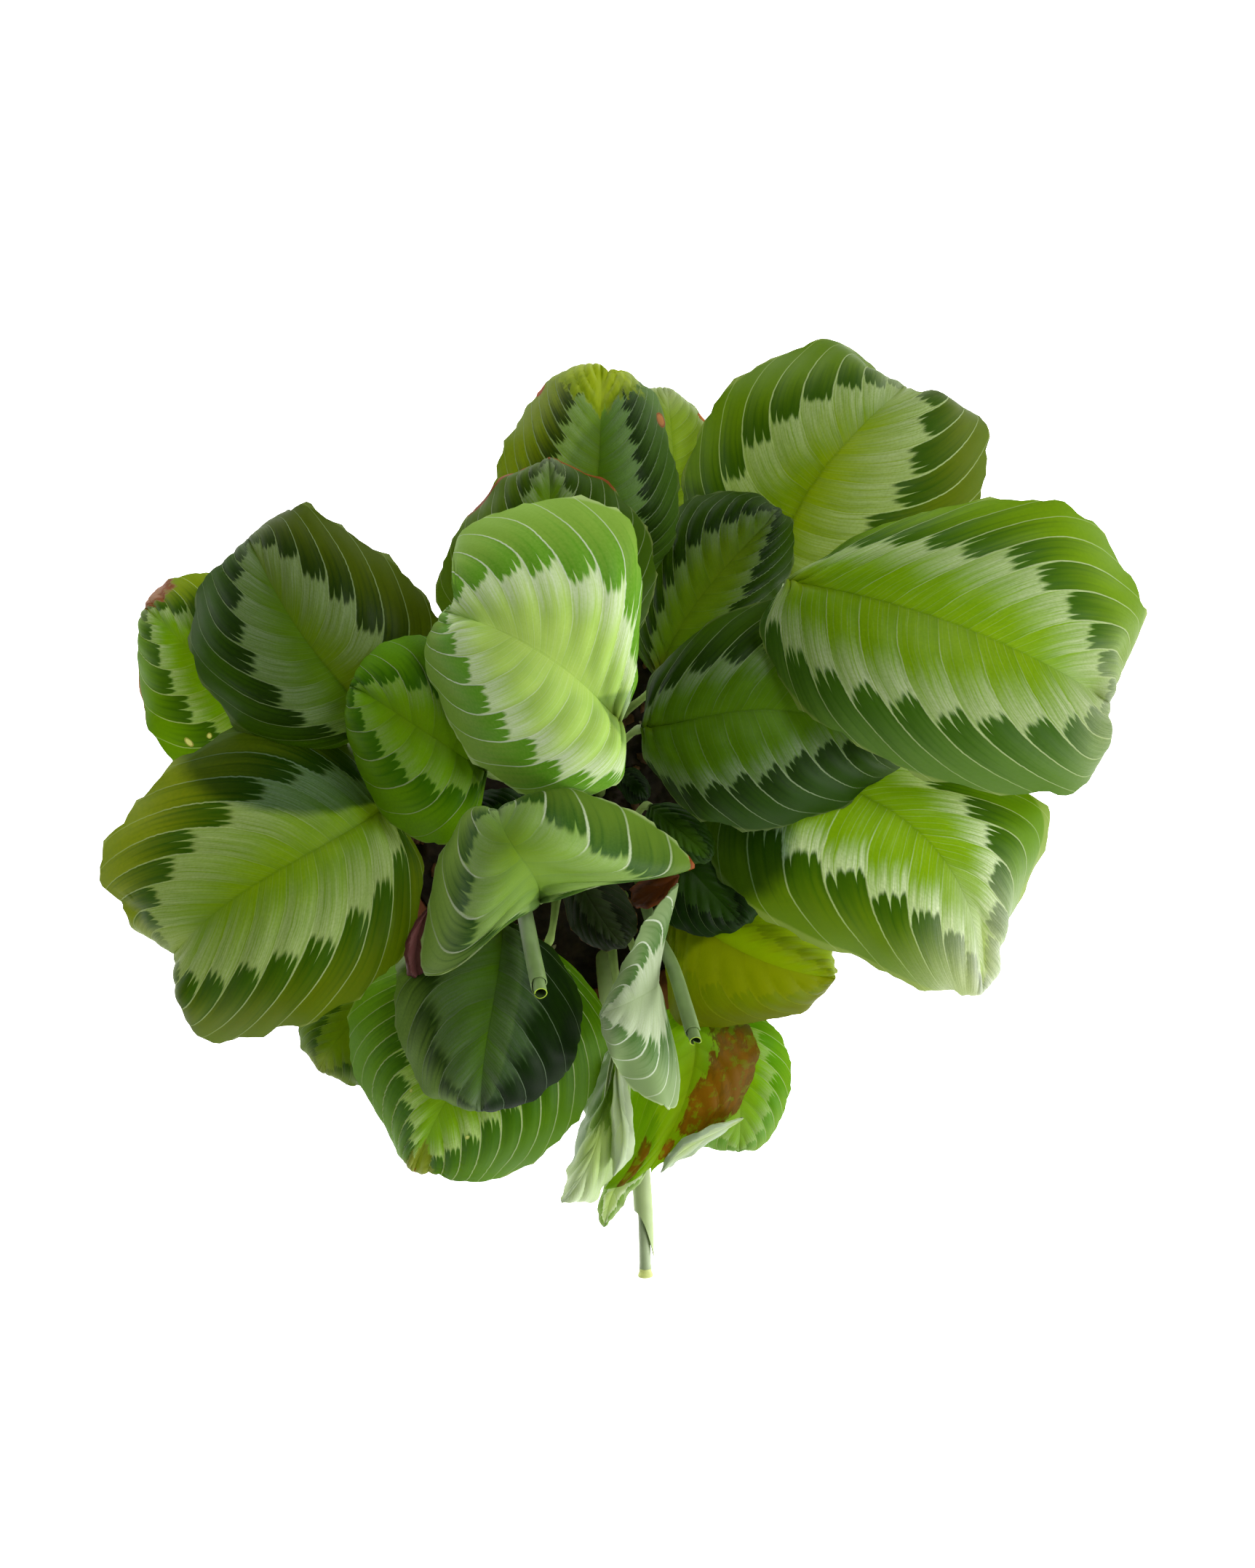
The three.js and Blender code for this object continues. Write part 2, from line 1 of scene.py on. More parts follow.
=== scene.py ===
# %% [markdown]
# # A potted prayer plant, seen from above
#
# A prayer plant has broad thin leaves on slender stalks. Each leaf carries a silver-green
# feathered band, dark lobes outside it and fine pale veins that sweep towards the tip.
# This lesson loads the plain solids of the plant as a fixed frame, and then makes finer
# leaves, stalks, soil and pot in the same places.

# %% Load the frame
import math

import bpy
import numpy as np
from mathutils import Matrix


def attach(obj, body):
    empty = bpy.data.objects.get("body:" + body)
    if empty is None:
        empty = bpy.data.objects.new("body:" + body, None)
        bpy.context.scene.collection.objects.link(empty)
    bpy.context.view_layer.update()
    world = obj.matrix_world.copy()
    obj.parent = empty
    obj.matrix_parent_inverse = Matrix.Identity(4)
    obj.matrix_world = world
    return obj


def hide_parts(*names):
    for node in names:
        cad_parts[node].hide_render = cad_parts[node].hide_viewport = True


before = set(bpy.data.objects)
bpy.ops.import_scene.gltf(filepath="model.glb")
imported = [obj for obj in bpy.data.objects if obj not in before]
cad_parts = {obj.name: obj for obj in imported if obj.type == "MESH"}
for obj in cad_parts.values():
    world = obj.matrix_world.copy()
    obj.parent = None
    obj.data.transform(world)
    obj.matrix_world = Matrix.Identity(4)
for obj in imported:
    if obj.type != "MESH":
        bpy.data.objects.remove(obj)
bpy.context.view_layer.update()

MM = 0.001

# %% [markdown]
# ## The camera
#
# The plant was photographed straight from above on a white table. Leaves near the lens look
# larger than the pot far below them, so the camera's height matters as much as its angle.
# A camera that looks straight down has no rotation at all in Blender.

# %% Camera
PICTURE = (1725, 2156)
CAMERA_HEIGHT = 0.927
CAMERA_PLACE = (0.0145, 0.0064)
HALF_VIEW = 16.3

camera_data = bpy.data.cameras.new("camera")
camera_data.sensor_fit = "VERTICAL"
camera_data.sensor_height = 36.0
camera_data.lens = 18.0 / math.tan(math.radians(HALF_VIEW))
camera_data.clip_start = 0.01
camera_data.clip_end = 20.0
camera = bpy.data.objects.new("camera", camera_data)
camera.location = (*CAMERA_PLACE, CAMERA_HEIGHT)
bpy.context.scene.collection.objects.link(camera)
bpy.context.scene.camera = camera
print("lens", round(camera_data.lens, 2), "mm for a picture of", PICTURE)

# %% [markdown]
# ## Light and floor
#
# The real plant stood on a bright white surface under a large soft lamp. Light comes back up
# from the floor and shines through the thin leaves, which is why they look yellow-green where
# nothing lies under them and dark where another leaf does. A floor that glows a little does
# the same with few light paths. A lamp to the upper right and a window to the lower right give
# the soft shading.

# %% Light and floor
SKY_STRENGTH = 0.18
LAMP_TARGET = (0, 0, 0.15)
FLOOR_HALF = 9
FLOOR_DROP = 0.0005
FLOOR_GLOW = 2.2

scene = bpy.context.scene
scene.view_settings.view_transform = "Standard"

world = bpy.data.worlds.new("studio")
world.use_nodes = True
sky = world.node_tree.nodes["Background"]
sky.inputs["Color"].default_value = (1.0, 1.0, 1.0, 1.0)
sky.inputs["Strength"].default_value = SKY_STRENGTH
scene.world = world


def soft_lamp(name, place, target, size, watts):
    """A square lamp that looks from one point to another."""
    lamp = bpy.data.lights.new(name, "AREA")
    lamp.size = size
    lamp.energy = watts
    holder = bpy.data.objects.new(name, lamp)
    holder.location = place
    away = np.array(place, float) - np.array(target, float)
    flat = math.hypot(away[0], away[1])
    holder.rotation_euler = (math.atan2(flat, away[2]), 0.0, math.atan2(away[0], -away[1]))
    scene.collection.objects.link(holder)


soft_lamp("key lamp", (0.6, 0.45, 1.2), LAMP_TARGET, size=0.6, watts=12.0)
soft_lamp("window", (1.2, -0.75, 0.5), LAMP_TARGET, size=0.7, watts=16.0)

floor_mesh = bpy.data.meshes.new("floor")
square = [(-1, -1), (1, -1), (1, 1), (-1, 1)]
floor_corners = [(x * FLOOR_HALF, y * FLOOR_HALF, -FLOOR_DROP) for x, y in square]
floor_mesh.from_pydata(floor_corners, [], [(0, 1, 2, 3)])
floor = bpy.data.objects.new("floor", floor_mesh)
scene.collection.objects.link(floor)
floor_paint = bpy.data.materials.new("pale floor")
floor_paint.use_nodes = True
floor_bsdf = floor_paint.node_tree.nodes["Principled BSDF"]
floor_bsdf.inputs["Base Color"].default_value = (0.86, 0.86, 0.86, 1.0)
floor_bsdf.inputs["Roughness"].default_value = 0.9
floor_bsdf.inputs["Emission Color"].default_value = (1.0, 1.0, 1.0, 1.0)
floor_bsdf.inputs["Emission Strength"].default_value = FLOOR_GLOW
floor_mesh.materials.append(floor_paint)
print("floor", 2 * FLOOR_HALF, "m wide, which glows with strength", FLOOR_GLOW)

# %% [markdown]
# ## The leaves' measurements
#
# Every leaf is told by a few points in millimetres: its midrib, or `spine`, from base to tip,
# and its margin on either side. They are the same points that the solids were made from, so
# the fine leaves lie exactly where the solids are. `foot` is where the stalk leaves the soil,
# and `stalk` holds points on its way where it takes a detour. `bulge` is the height of the
# arch of the left and of the right half, and `wave` is how far the margin goes up and down.

# %% Leaf table
SOIL_TOP = 106.0

LEAVES = [
    dict(name="leaf_upper_right", foot=(27, 34), bulge=(4, 5), wave=1.2,
         spine=[(59, 65, 162), (62, 83, 176), (75, 101, 183), (93, 119, 165)],
         left=[(37, 72, 154), (31, 94, 160), (44, 120, 166), (72, 133, 162)],
         right=[(74, 56, 160), (98, 65, 167), (115, 84, 166), (116, 112, 157)]),
    dict(name="leaf_right", foot=(21, 22), bulge=(5, 6), wave=1.4,
         spine=[(58, 61, 201), (86, 54, 214), (117, 43, 210), (147, 29, 187)],
         left=[(73, 72, 199), (100, 81, 203), (135, 82, 198), (157, 56, 185)],
         right=[(51, 47, 200), (64, 25, 203), (97, 8, 198), (139, 3, 184)],
         stalk=[(27, 28, 124), (45, 43, 148), (59, 57, 170)]),
    dict(name="leaf_lower_right", foot=(33, 4), bulge=(4, 5), wave=1.3,
         spine=[(59, 12, 166), (81, 3, 177), (104, -16, 176), (116, -54, 155)],
         left=[(76, 23, 163), (111, 14, 170), (133, -4, 165), (124, -32, 156)],
         right=[(36, -4, 160), (48, -27, 163), (79, -43, 160), (105, -53, 152)]),
    dict(name="leaf_centre_right", foot=(10, 15), bulge=(4, 5), wave=1,
         spine=[(19, 22, 188), (37, 25, 197), (61, 26, 195), (91, 12, 180)],
         left=[(21, 35, 185), (39, 51, 187), (64, 57, 187), (88, 37, 181)],
         right=[(20, 13, 182), (33, -2, 183), (54, -6, 182), (77, 2, 177)]),
    dict(name="leaf_centre_top", foot=(13, 28), bulge=(3, 3), wave=0.8,
         spine=[(23, 36, 166), (31, 53, 176), (43, 68, 182), (57, 83, 180)],
         left=[(17, 48, 162), (19, 66, 168), (27, 84, 171), (44, 89, 174)],
         right=[(34, 40, 160), (49, 50, 166), (58, 62, 173), (61, 76, 178)]),
    dict(name="leaf_top", foot=(2, 40), bulge=(4, 4), wave=1,
         spine=[(5, 68, 172), (6, 85, 182), (7, 103, 184), (7, 125, 166)],
         left=[(-12, 72, 167), (-24, 86, 170), (-18, 106, 170), (-8, 122, 163)],
         right=[(20, 65, 172), (29, 79, 180), (27, 100, 177), (20, 119, 166)]),
    dict(name="leaf_behind_centre", foot=(-5, 22), bulge=(4, 4), wave=0.8,
         spine=[(-5, 30, 186), (-5, 52, 197), (-6, 73, 198), (-7, 96, 189)],
         left=[(-21, 36, 182), (-37, 56, 187), (-32, 75, 189), (-20, 91, 186)],
         right=[(14, 42, 184), (22, 62, 191), (19, 77, 193), (7, 90, 190)]),
    dict(name="leaf_centre_light", foot=(3, 12), bulge=(6, 5), wave=1.2,
         spine=[(12, 23, 204), (-1, 36, 213), (-17, 46, 214), (-35, 53, 202)],
         left=[(12, 8, 197), (-9, 2, 197), (-30, 16, 197), (-41, 41, 195)],
         right=[(18, 41, 201), (19, 75, 204), (-8, 84, 203), (-32, 73, 199)]),
    dict(name="leaf_left_inner", foot=(-12, 5), bulge=(4, 4), wave=0.9,
         spine=[(-25, 10, 184), (-37, 18, 191), (-49, 26, 191), (-62, 34, 183)],
         left=[(-28, -4, 178), (-41, -10, 178), (-56, 1, 178), (-64, 19, 178)],
         right=[(-20, 24, 181), (-28, 42, 185), (-42, 48, 186), (-58, 43, 182)]),
    dict(name="leaf_left_dark", foot=(-26, 14), bulge=(4, 5), wave=1.2,
         spine=[(-56, 22, 165), (-68, 37, 176), (-79, 52, 179), (-93, 76, 164)],
         left=[(-70, 17, 163), (-92, 21, 166), (-109, 43, 166), (-107, 67, 160)],
         right=[(-40, 30, 164), (-38, 52, 169), (-56, 72, 169), (-80, 86, 162)]),
    dict(name="leaf_left_back", foot=(-37, 19), bulge=(3, 3), wave=1.2,
         spine=[(-83, 20, 147), (-96, 32, 156), (-111, 45, 156), (-126, 58, 143)],
         left=[(-92, 8, 143), (-113, 8, 147), (-126, 25, 147), (-129, 46, 142)],
         right=[(-79, 38, 145), (-88, 59, 150), (-104, 69, 150), (-120, 66, 143)]),
    dict(name="leaf_left_large", foot=(-25, -3), bulge=(5, 5), wave=1.5,
         spine=[(-54, 0, 168), (-71, -11, 179), (-93, -24, 179), (-115, -42, 158)],
         left=[(-44, -18, 163), (-53, -47, 166), (-81, -64, 162), (-110, -68, 150)],
         right=[(-71, 14, 157), (-96, 16, 161), (-125, 0, 160), (-138, -25, 151)]),
    dict(name="leaf_left_low", foot=(-30, -28), bulge=(2, 2), wave=0.6,
         spine=[(-53, -51, 139), (-61, -59, 145), (-70, -68, 144), (-76, -78, 137)],
         left=[(-49, -63, 136), (-53, -74, 138), (-61, -82, 137), (-68, -82, 135)],
         right=[(-65, -50, 137), (-76, -56, 139), (-82, -64, 138), (-81, -72, 135)]),
    dict(name="leaf_bottom_light", foot=(-7, -27), bulge=(4, 4), wave=1.3,
         spine=[(-9, -41, 150), (-21, -59, 163), (-35, -80, 163), (-48, -107, 140)],
         left=[(5, -55, 146), (10, -73, 152), (-3, -97, 148), (-28, -111, 140)],
         right=[(-32, -38, 150), (-59, -50, 154), (-67, -70, 150), (-56, -97, 140)]),
    dict(name="leaf_bottom_dark", foot=(-15, -17), bulge=(3, 3), wave=0.9,
         spine=[(-21, -32, 166), (-22, -49, 179), (-25, -67, 180), (-27, -86, 167)],
         left=[(-7, -41, 163), (2, -57, 168), (-1, -74, 169), (-12, -84, 166)],
         right=[(-40, -38, 163), (-51, -50, 168), (-49, -70, 169), (-40, -83, 166)]),
    dict(name="leaf_arched", foot=(-5, -14), bulge=(8, 9), wave=1.4,
         spine=[(-10, -26, 186), (-11, -18, 205), (-16, -10, 214), (-20, -1, 208)],
         left=[(-23, -35, 192), (-42, -48, 178), (-40, -22, 182), (-30, -3, 196)],
         right=[(2, -22, 197), (32, -17, 182), (20, -4, 192), (-2, 5, 203)]),
    dict(name="leaf_folded", foot=(13, -28), bulge=(3, 3), wave=1.2,
         spine=[(22, -50, 158), (23, -50, 174), (18, -52, 190), (7, -57, 192)],
         left=[(25, -64, 170), (29, -83, 176), (20, -81, 184), (10, -69, 190)],
         right=[(22, -39, 170), (28, -19, 178), (19, -28, 186), (13, -43, 190)],
         stalk=[(13, -32, 122), (17, -44, 141)]),
    dict(name="leaf_olive", foot=(24, -17), bulge=(3, 3), wave=0.8,
         spine=[(28, -28, 142), (40, -38, 150), (57, -46, 152), (75, -50, 144)],
         left=[(35, -23, 141), (51, -26, 145), (62, -32, 148), (74, -41, 144)],
         right=[(26, -45, 138), (29, -63, 140), (48, -65, 141), (67, -60, 140)]),
    dict(name="leaf_dark_low_right", foot=(21, -10), bulge=(2, 2), wave=0.7,
         spine=[(23, -6, 151), (30, -15, 158), (38, -24, 159), (48, -34, 155)],
         left=[(35, -2, 150), (45, -11, 153), (53, -22, 154), (52, -31, 154)],
         right=[(19, -17, 150), (22, -29, 153), (30, -36, 154), (40, -37, 153)]),
    dict(name="leaf_hanging", foot=(21, -37), bulge=(2, 3), wave=1.2,
         spine=[(33, -60, 133), (34, -76, 140), (26, -99, 135), (7, -128, 116)],
         left=[(49, -64, 131), (52, -78, 135), (41, -97, 130), (18, -115, 120)],
         right=[(23, -63, 132), (15, -80, 136), (15, -102, 131), (7, -116, 122)]),
    dict(name="leaf_low_bright", foot=(28, -42), bulge=(2, 2), wave=0.8,
         spine=[(41, -64, 127), (46, -75, 130), (48, -88, 129), (48, -104, 121)],
         left=[(55, -63, 124), (64, -74, 126), (64, -88, 125), (58, -101, 120)],
         right=[(34, -70, 124), (31, -83, 126), (32, -96, 125), (38, -103, 120)],
         stalk=[(30, -46, 118), (35, -54, 127)]),
    dict(name="leaf_drooping", foot=(9, -38), bulge=(2, 2), wave=1,
         spine=[(12, -69, 150), (9, -82, 152), (5, -100, 144), (-5, -118, 129)],
         left=[(15, -80, 139), (14, -98, 132), (10, -109, 128), (4, -118, 125)],
         right=[(7, -77, 143), (3, -87, 140), (0, -97, 135), (-3, -109, 130)]),
    dict(name="leaf_top_small", foot=(14, 42), bulge=(2, 2), wave=0.8,
         spine=[(28, 82, 148), (28, 95, 156), (27, 109, 156), (26, 121, 149)],
         left=[(18, 83, 145), (15, 97, 150), (15, 111, 150), (19, 121, 147)],
         right=[(36, 84, 144), (41, 95, 148), (41, 107, 148), (34, 117, 147)]),
    dict(name="leaf_ragged", foot=(-10, -5), bulge=(1, 1), wave=0.8,
         spine=[(-11, -4, 168), (-19, -3, 173), (-27, -3, 173), (-35, -4, 168)],
         left=[(-14, -11, 166), (-21, -13, 169), (-29, -12, 169), (-34, -8, 168)],
         right=[(-13, 3, 166), (-19, 5, 169), (-27, 4, 169), (-33, 0, 168)]),
    dict(name="leaf_small_centre", foot=(6, 4), bulge=(1, 1), wave=0.3,
         spine=[(12, 10, 138), (15, 7, 143), (18, 5, 144), (20, 2, 141)],
         left=[(16, 11, 138), (19, 9, 141), (21, 6, 141), (21, 4, 140)],
         right=[(11, 7, 138), (13, 4, 141), (15, 1, 141), (18, 1, 140)]),
    dict(name="leaf_small_right", foot=(16, -6), bulge=(1, 1), wave=0.4,
         spine=[(21, 0, 165), (26, -4, 170), (32, -9, 170), (38, -15, 167)],
         left=[(26, 1, 165), (32, -1, 168), (37, -6, 168), (39, -11, 167)],
         right=[(20, -5, 165), (24, -10, 168), (28, -14, 168), (34, -16, 167)]),
    dict(name="leaf_small_low", foot=(3, -8), bulge=(1, 1), wave=0.5,
         spine=[(-1, -20, 144), (3, -26, 150), (8, -34, 151), (14, -41, 147)],
         left=[(7, -20, 143), (13, -25, 146), (17, -32, 147), (17, -37, 146)],
         right=[(-4, -26, 143), (-2, -35, 146), (3, -40, 147), (9, -42, 146)]),
]
midribs = [round(math.dist(leaf["spine"][0], leaf["spine"][3])) for leaf in LEAVES]
print("midribs, from base to tip:", midribs, "mm")

# %% [markdown]
# ## How each leaf is painted and cut
#
# No two leaves are alike, so each has a row of its own. What a row leaves out is as in `USUAL`.
# - `tone` picks a set of colours, and `paint` changes single colours of the set. The outer and
#   through colours can differ on the two halves, partly as painted light on one and shade on the other.
# - `band` is how far out the silver reaches near the base and near the tip, first on the right
#   half and then on the left. `softness` blurs its edge.
# - `spacing` is the distance between side veins as a share of the leaf's length, `phase` shifts
#   them, `sweep` bends them forward, and `vein_width` is the width of their pale lines.
# - `silver` is the strength of the silver and `silver_width` its width. `sheen` is how strongly
#   a painted sheen in the silver colour pales the tip, and `wash_from` is where that begins.
# - `thin` is the share of light that shines through, and `clear` is how yellow it turns.
# - `shades` are painted shade, where other leaves take the light: u, v, half sizes and an amount.
#   `patches` are dried places, and one is a painted glow of light shining through: u, v, half sizes
#   and two colours. `ragged` and `holes` tear them.
# - `quilt` is the height of the cushions between the veins, `soft` rounds the fold over the
#   midrib, and `curls` lift or lower a spot: u, v, half sizes and millimetres.
# - `trim` tells where the margin is notched or torn, as (u, share of the smooth width). `bays`
#   draws it in between side veins, `corner` makes it angular, and `until` is where a leaf ends.

# %% Looks table
USUAL = dict(
    softness=0.022, sweep=1.0, vein_width=0.0115, silver=1.0, silver_width=0.25, wash=0.7, wash_from=0.82,
    thin=0.5, clear=0.6, ragged=1.2, holes=0.0, soft=0.14, bays=0.022, until=1.0,
    paint={}, shades=[], patches=[], curls=[], trim={})
FULL_LENGTH = 60
QUILT_HEIGHT = 1.1
ANGULAR_FROM = 45
LARGE_CORNER, SMALL_CORNER = 0.05, 0.01

LOOKS = {
    "leaf_upper_right": dict(
        tone="middle", band=((0.5, 0.42), (0.76, 0.3)), spacing=0.115, phase=0.3, sweep=1.08,
        silver_width=0.5, wash=1.1, wash_from=0.8, clear=0.45, bays=0.03,
        paint=dict(outer_right="4f5e04", outer_left="567406", base="6c7800", rib_glow="8a9c04",
                   through_right="a8ac00", through_left="94a000"),
        shades=[(0.1, 0.9, 0.3, 0.5, 0.5)],
        curls=[(0.85, -0.6, 0.06, 0.2, 2.0), (0.9, 0.8, 0.05, 0.2, -2.5)],
        trim=dict(left=[(0, 1), (0.8, 1), (0.86, 1.04), (0.9, 0.95), (1, 0.8)],
                  right=[(0, 1), (0.8, 0.98), (0.84, 0.92), (0.865, 0.64), (0.9, 0.44), (0.95, 0.36),
                         (1, 0.4)])),
    "leaf_right": dict(
        tone="bright", band=((0.84, 0.34), (0.74, 0.32)), spacing=0.11, phase=0.1, sweep=1.2,
        silver_width=0.35, wash=0.9, wash_from=0.74, bays=0.03,
        paint=dict(outer_left="6c8c08", outer_right="587838", dark="345810", through_right="8ca814",
                   base="94a810"),
        curls=[(0.9, -0.75, 0.04, 0.2, 2.5), (0.86, 0.7, 0.05, 0.2, -2.0), (0.94, 0.3, 0.04, 0.2, 2.0)],
        trim=dict(left=[(0, 1), (0.78, 0.97), (0.84, 1.05), (0.89, 1.1), (0.93, 0.98), (0.96, 0.85),
                        (1, 0.8)],
                  right=[(0, 1), (0.7, 1), (0.74, 0.93), (0.84, 0.92), (0.87, 1), (0.9, 0.97),
                         (0.925, 0.72), (0.95, 0.64), (0.965, 0.85), (1, 0.8)])),
    "leaf_lower_right": dict(
        tone="bright", band=((0.62, 0.3), (0.6, 0.38)), spacing=0.12, phase=0.45, wash=1.3,
        wash_from=0.62, bays=0.03,
        paint=dict(outer_right="5a7008", outer_left="5c8204", core="789e10", silver="f4f8ec"),
        shades=[(0.06, -0.85, 0.36, 0.62, 0.85)],
        curls=[(0.8, 0.6, 0.07, 0.2, 3.0), (0.86, 0.25, 0.05, 0.2, -2.5), (0.92, 0.7, 0.05, 0.2, 2.0)],
        trim=dict(left=[(0, 1), (0.5, 1), (0.6, 1.05), (0.7, 1.07), (0.76, 1.04), (0.8, 0.95),
                        (0.83, 0.74), (0.86, 0.64), (0.89, 0.68), (0.92, 0.85), (0.95, 0.95), (1, 1)],
                  right=[(0, 1), (0.3, 1), (0.5, 1.03), (0.75, 1.03), (0.88, 0.98), (0.95, 0.9), (1, 0.9)])),
    "leaf_centre_right": dict(
        tone="dark", band=((1.0, 0.12), (0.62, 0.4)), spacing=0.12, phase=0.2,
        paint=dict(outer_right="22400a")),
    "leaf_centre_top": dict(
        tone="dark", band=((0.6, 0.4), (0.55, 0.4)), spacing=0.1, phase=0.7, silver=0.6,
        paint=dict(core="587410", base="8a7c10", rib_glow="6c7c10")),
    "leaf_top": dict(
        tone="dark", band=((0.66, 0.36), (0.5, 0.34)), spacing=0.072, phase=0.5, silver=0.7,
        silver_width=0.5,
        paint=dict(outer_left="748408", outer_right="4c6c28", through_left="a8b400", core="64902c",
                   through_right="8cac2c", base="3c6020", silver="98ac84"),
        shades=[(0.38, -0.4, 0.44, 0.75, 0.4)],
        # The first patch is a painted glow: the tip lit yellow by light shining through it. The two small
        # ones are dried.
        patches=[(1.0, 0.0, 0.24, 1.7, "a4b420", "809410"), (0.74, 0.94, 0.03, 0.08, "b0582c", "8c3c14"),
                 (0.68, -0.94, 0.02, 0.06, "c07838", "8c4c14")],
        trim=dict(left=[(0, 1), (0.68, 0.98), (0.74, 0.92), (0.8, 0.9), (0.86, 0.84), (0.92, 0.98), (1, 1)],
                  right=[(0, 1), (0.76, 1), (0.8, 0.9), (0.84, 0.98), (0.88, 0.95), (0.9, 0.7),
                         (0.93, 0.44), (0.96, 0.42), (1, 0.5)])),
    "leaf_behind_centre": dict(
        tone="middle", band=((0.5, 0.4), (0.5, 0.4)), spacing=0.1, phase=0.15, silver=0.6,
        paint=dict(outer_right="304c02", outer_left="567002", dark="2c4404"),
        patches=[(0.85, 1.0, 0.2, 0.06, "a4602c", "8c4818"), (0.9, -1.0, 0.15, 0.08, "a4602c", "8c4818"),
                 (1.0, 0, 0.02, 1.0, "b47838", "8c4818")]),
    "leaf_centre_light": dict(
        tone="pale", band=((0.7, 0.33), (0.88, 0.3)), spacing=0.115, phase=0.35, silver_width=0.3,
        wash=0.2, thin=0.25,
        paint=dict(base="808c00", outer_left="749834", outer_right="84ac3c", core="a8cc60",
                   silver="e4f0d0"),
        shades=[(0.0, 0.0, 0.16, 1.6, 0.5)],
        curls=[(0.8, 0.2, 0.06, 0.25, 2.5), (0.88, 0.4, 0.05, 0.3, -2.0)],
        trim=dict(left=[(0, 1), (0.75, 1), (0.8, 0.94), (0.85, 0.84), (0.9, 0.7), (0.95, 0.52), (1, 0.3)],
                  right=[(0, 1), (0.1, 0.86), (0.2, 0.8), (0.3, 0.8), (0.38, 0.85), (0.43, 0.96),
                         (0.47, 1.01), (0.55, 0.99), (0.8, 0.98), (0.825, 0.82), (0.84, 0.6), (0.86, 0.4),
                         (0.9, 0.32), (1, 0.3)])),
    "leaf_left_inner": dict(
        tone="middle", band=((0.5, 0.32), (0.45, 0.32)), spacing=0.15, phase=0.6, silver=0.6, wash=0.1,
        paint=dict(core="7cb40c", outer="6ca40c", outer_left="6c9c08", dark="3c7000", silver="a8c078"),
        shades=[(0.0, 0.0, 0.14, 1.0, 0.5)],
        trim=dict(left=[(0, 1), (0.6, 1), (0.77, 0.88), (0.87, 0.74), (0.95, 0.6), (1, 0.5)],
                  right=[(0, 1), (0.7, 0.97), (0.8, 0.85), (0.87, 0.7), (0.95, 0.5), (1, 0.4)])),
    "leaf_left_dark": dict(
        tone="dark", band=((0.55, 0.38), (0.58, 0.4)), spacing=0.12, phase=0.25, sweep=1.12,
        silver_width=0.45, wash=0.9, bays=0.04,
        paint=dict(outer_left="325408", outer_right="404e00", core="485f18", through_right="8c9800",
                   silver="8c9c7c"),
        trim=dict(left=[(0, 1), (0.08, 1.1), (0.2, 1.15), (0.4, 1.05), (0.55, 1), (0.76, 1), (0.8, 0.86),
                        (0.825, 0.8), (0.85, 0.76), (0.87, 0.7), (0.92, 0.75), (0.95, 1.0), (0.98, 1.6),
                        (1, 2.4)],
                  right=[(0, 1), (0.78, 1), (0.81, 0.95), (0.84, 1), (1, 1)])),
    "leaf_left_back": dict(
        tone="bright", band=((0.5, 0.35), (0.5, 0.35)), spacing=0.13, phase=0.5,
        paint=dict(core="508400", outer_left="608800", outer_right="88940c"),
        shades=[(0.35, -0.4, 0.4, 0.3, 0.4)],
        patches=[(0.95, -0.95, 0.2, 0.5, "b4867c", "8c4c28"), (1.0, 0.2, 0.03, 0.9, "b4806c", "9c5a28"),
                 (0.68, 0.97, 0.1, 0.05, "b07838", "9c5a28"),
                 (0.45, 0.7, 0.016, 0.03, "e8e0ac", "a08c38"), (0.4, 0.52, 0.01, 0.03, "e8e0ac", "a08c38")],
        trim=dict(left=[(0, 1), (0.5, 0.96), (0.62, 0.94), (0.72, 0.97), (0.78, 0.87), (0.85, 0.78),
                        (0.89, 0.85), (0.94, 0.98), (1, 1)],
                  right=[(0, 1), (0.55, 1.04), (0.62, 0.97), (0.7, 0.9), (0.78, 0.92), (0.84, 1),
                         (0.9, 0.82), (0.95, 0.87), (1, 0.9)])),
    "leaf_left_large": dict(
        tone="bright", band=((0.62, 0.42), (0.62, 0.42)), spacing=0.11, phase=0.65, sweep=1.08,
        silver_width=0.5, wash=1.6, clear=0.45, bays=0.035,
        paint=dict(outer_left="606c08", outer_right="8c9414", core="648810", through="a0b400",
                   silver="b8c498"),
        shades=[(0.22, -0.85, 0.29, 0.64, 0.9)],
        curls=[(0.85, 0.6, 0.06, 0.2, 2.0), (0.83, -0.7, 0.05, 0.15, -2.0), (0.3, -1.05, 0.28, 0.35, 7.0)],
        trim=dict(left=[(0, 1), (0.75, 0.97), (0.8, 0.95), (0.815, 0.88), (0.84, 0.86), (0.85, 0.74),
                        (0.88, 0.7), (0.91, 0.82), (0.94, 1.05), (1, 1)],
                  right=[(0, 1), (0.05, 1.15), (0.15, 1.28), (0.25, 1.24), (0.35, 1.12), (0.45, 1.02),
                         (0.74, 0.97), (0.77, 0.92), (0.79, 0.84), (0.83, 0.8), (0.87, 0.85), (0.91, 1),
                         (0.95, 1.03), (1, 1)])),
    "leaf_left_low": dict(
        tone="dark", band=((0.5, 0.4), (0.5, 0.4)), spacing=0.11, phase=0.1, silver=0.2, wash=1.3,
        wash_from=0.7,
        paint=dict(outer_left="587408", outer_right="607c10", dark="2c4c06", through="90a010",
                   silver="a8b464")),
    "leaf_bottom_light": dict(
        tone="bright", band=((0.6, 0.38), (0.6, 0.33)), spacing=0.085, phase=0.8, sweep=1.12, wash=0.1,
        paint=dict(core="80b41c", outer_left="4a740a", outer_right="64901c", dark="386408",
                   silver="c8d8a0"),
        patches=[(1.0, 0.0, 0.12, 1.3, "9ca838", "889428"), (1.0, 0.1, 0.025, 0.6, "c87838", "a05420"),
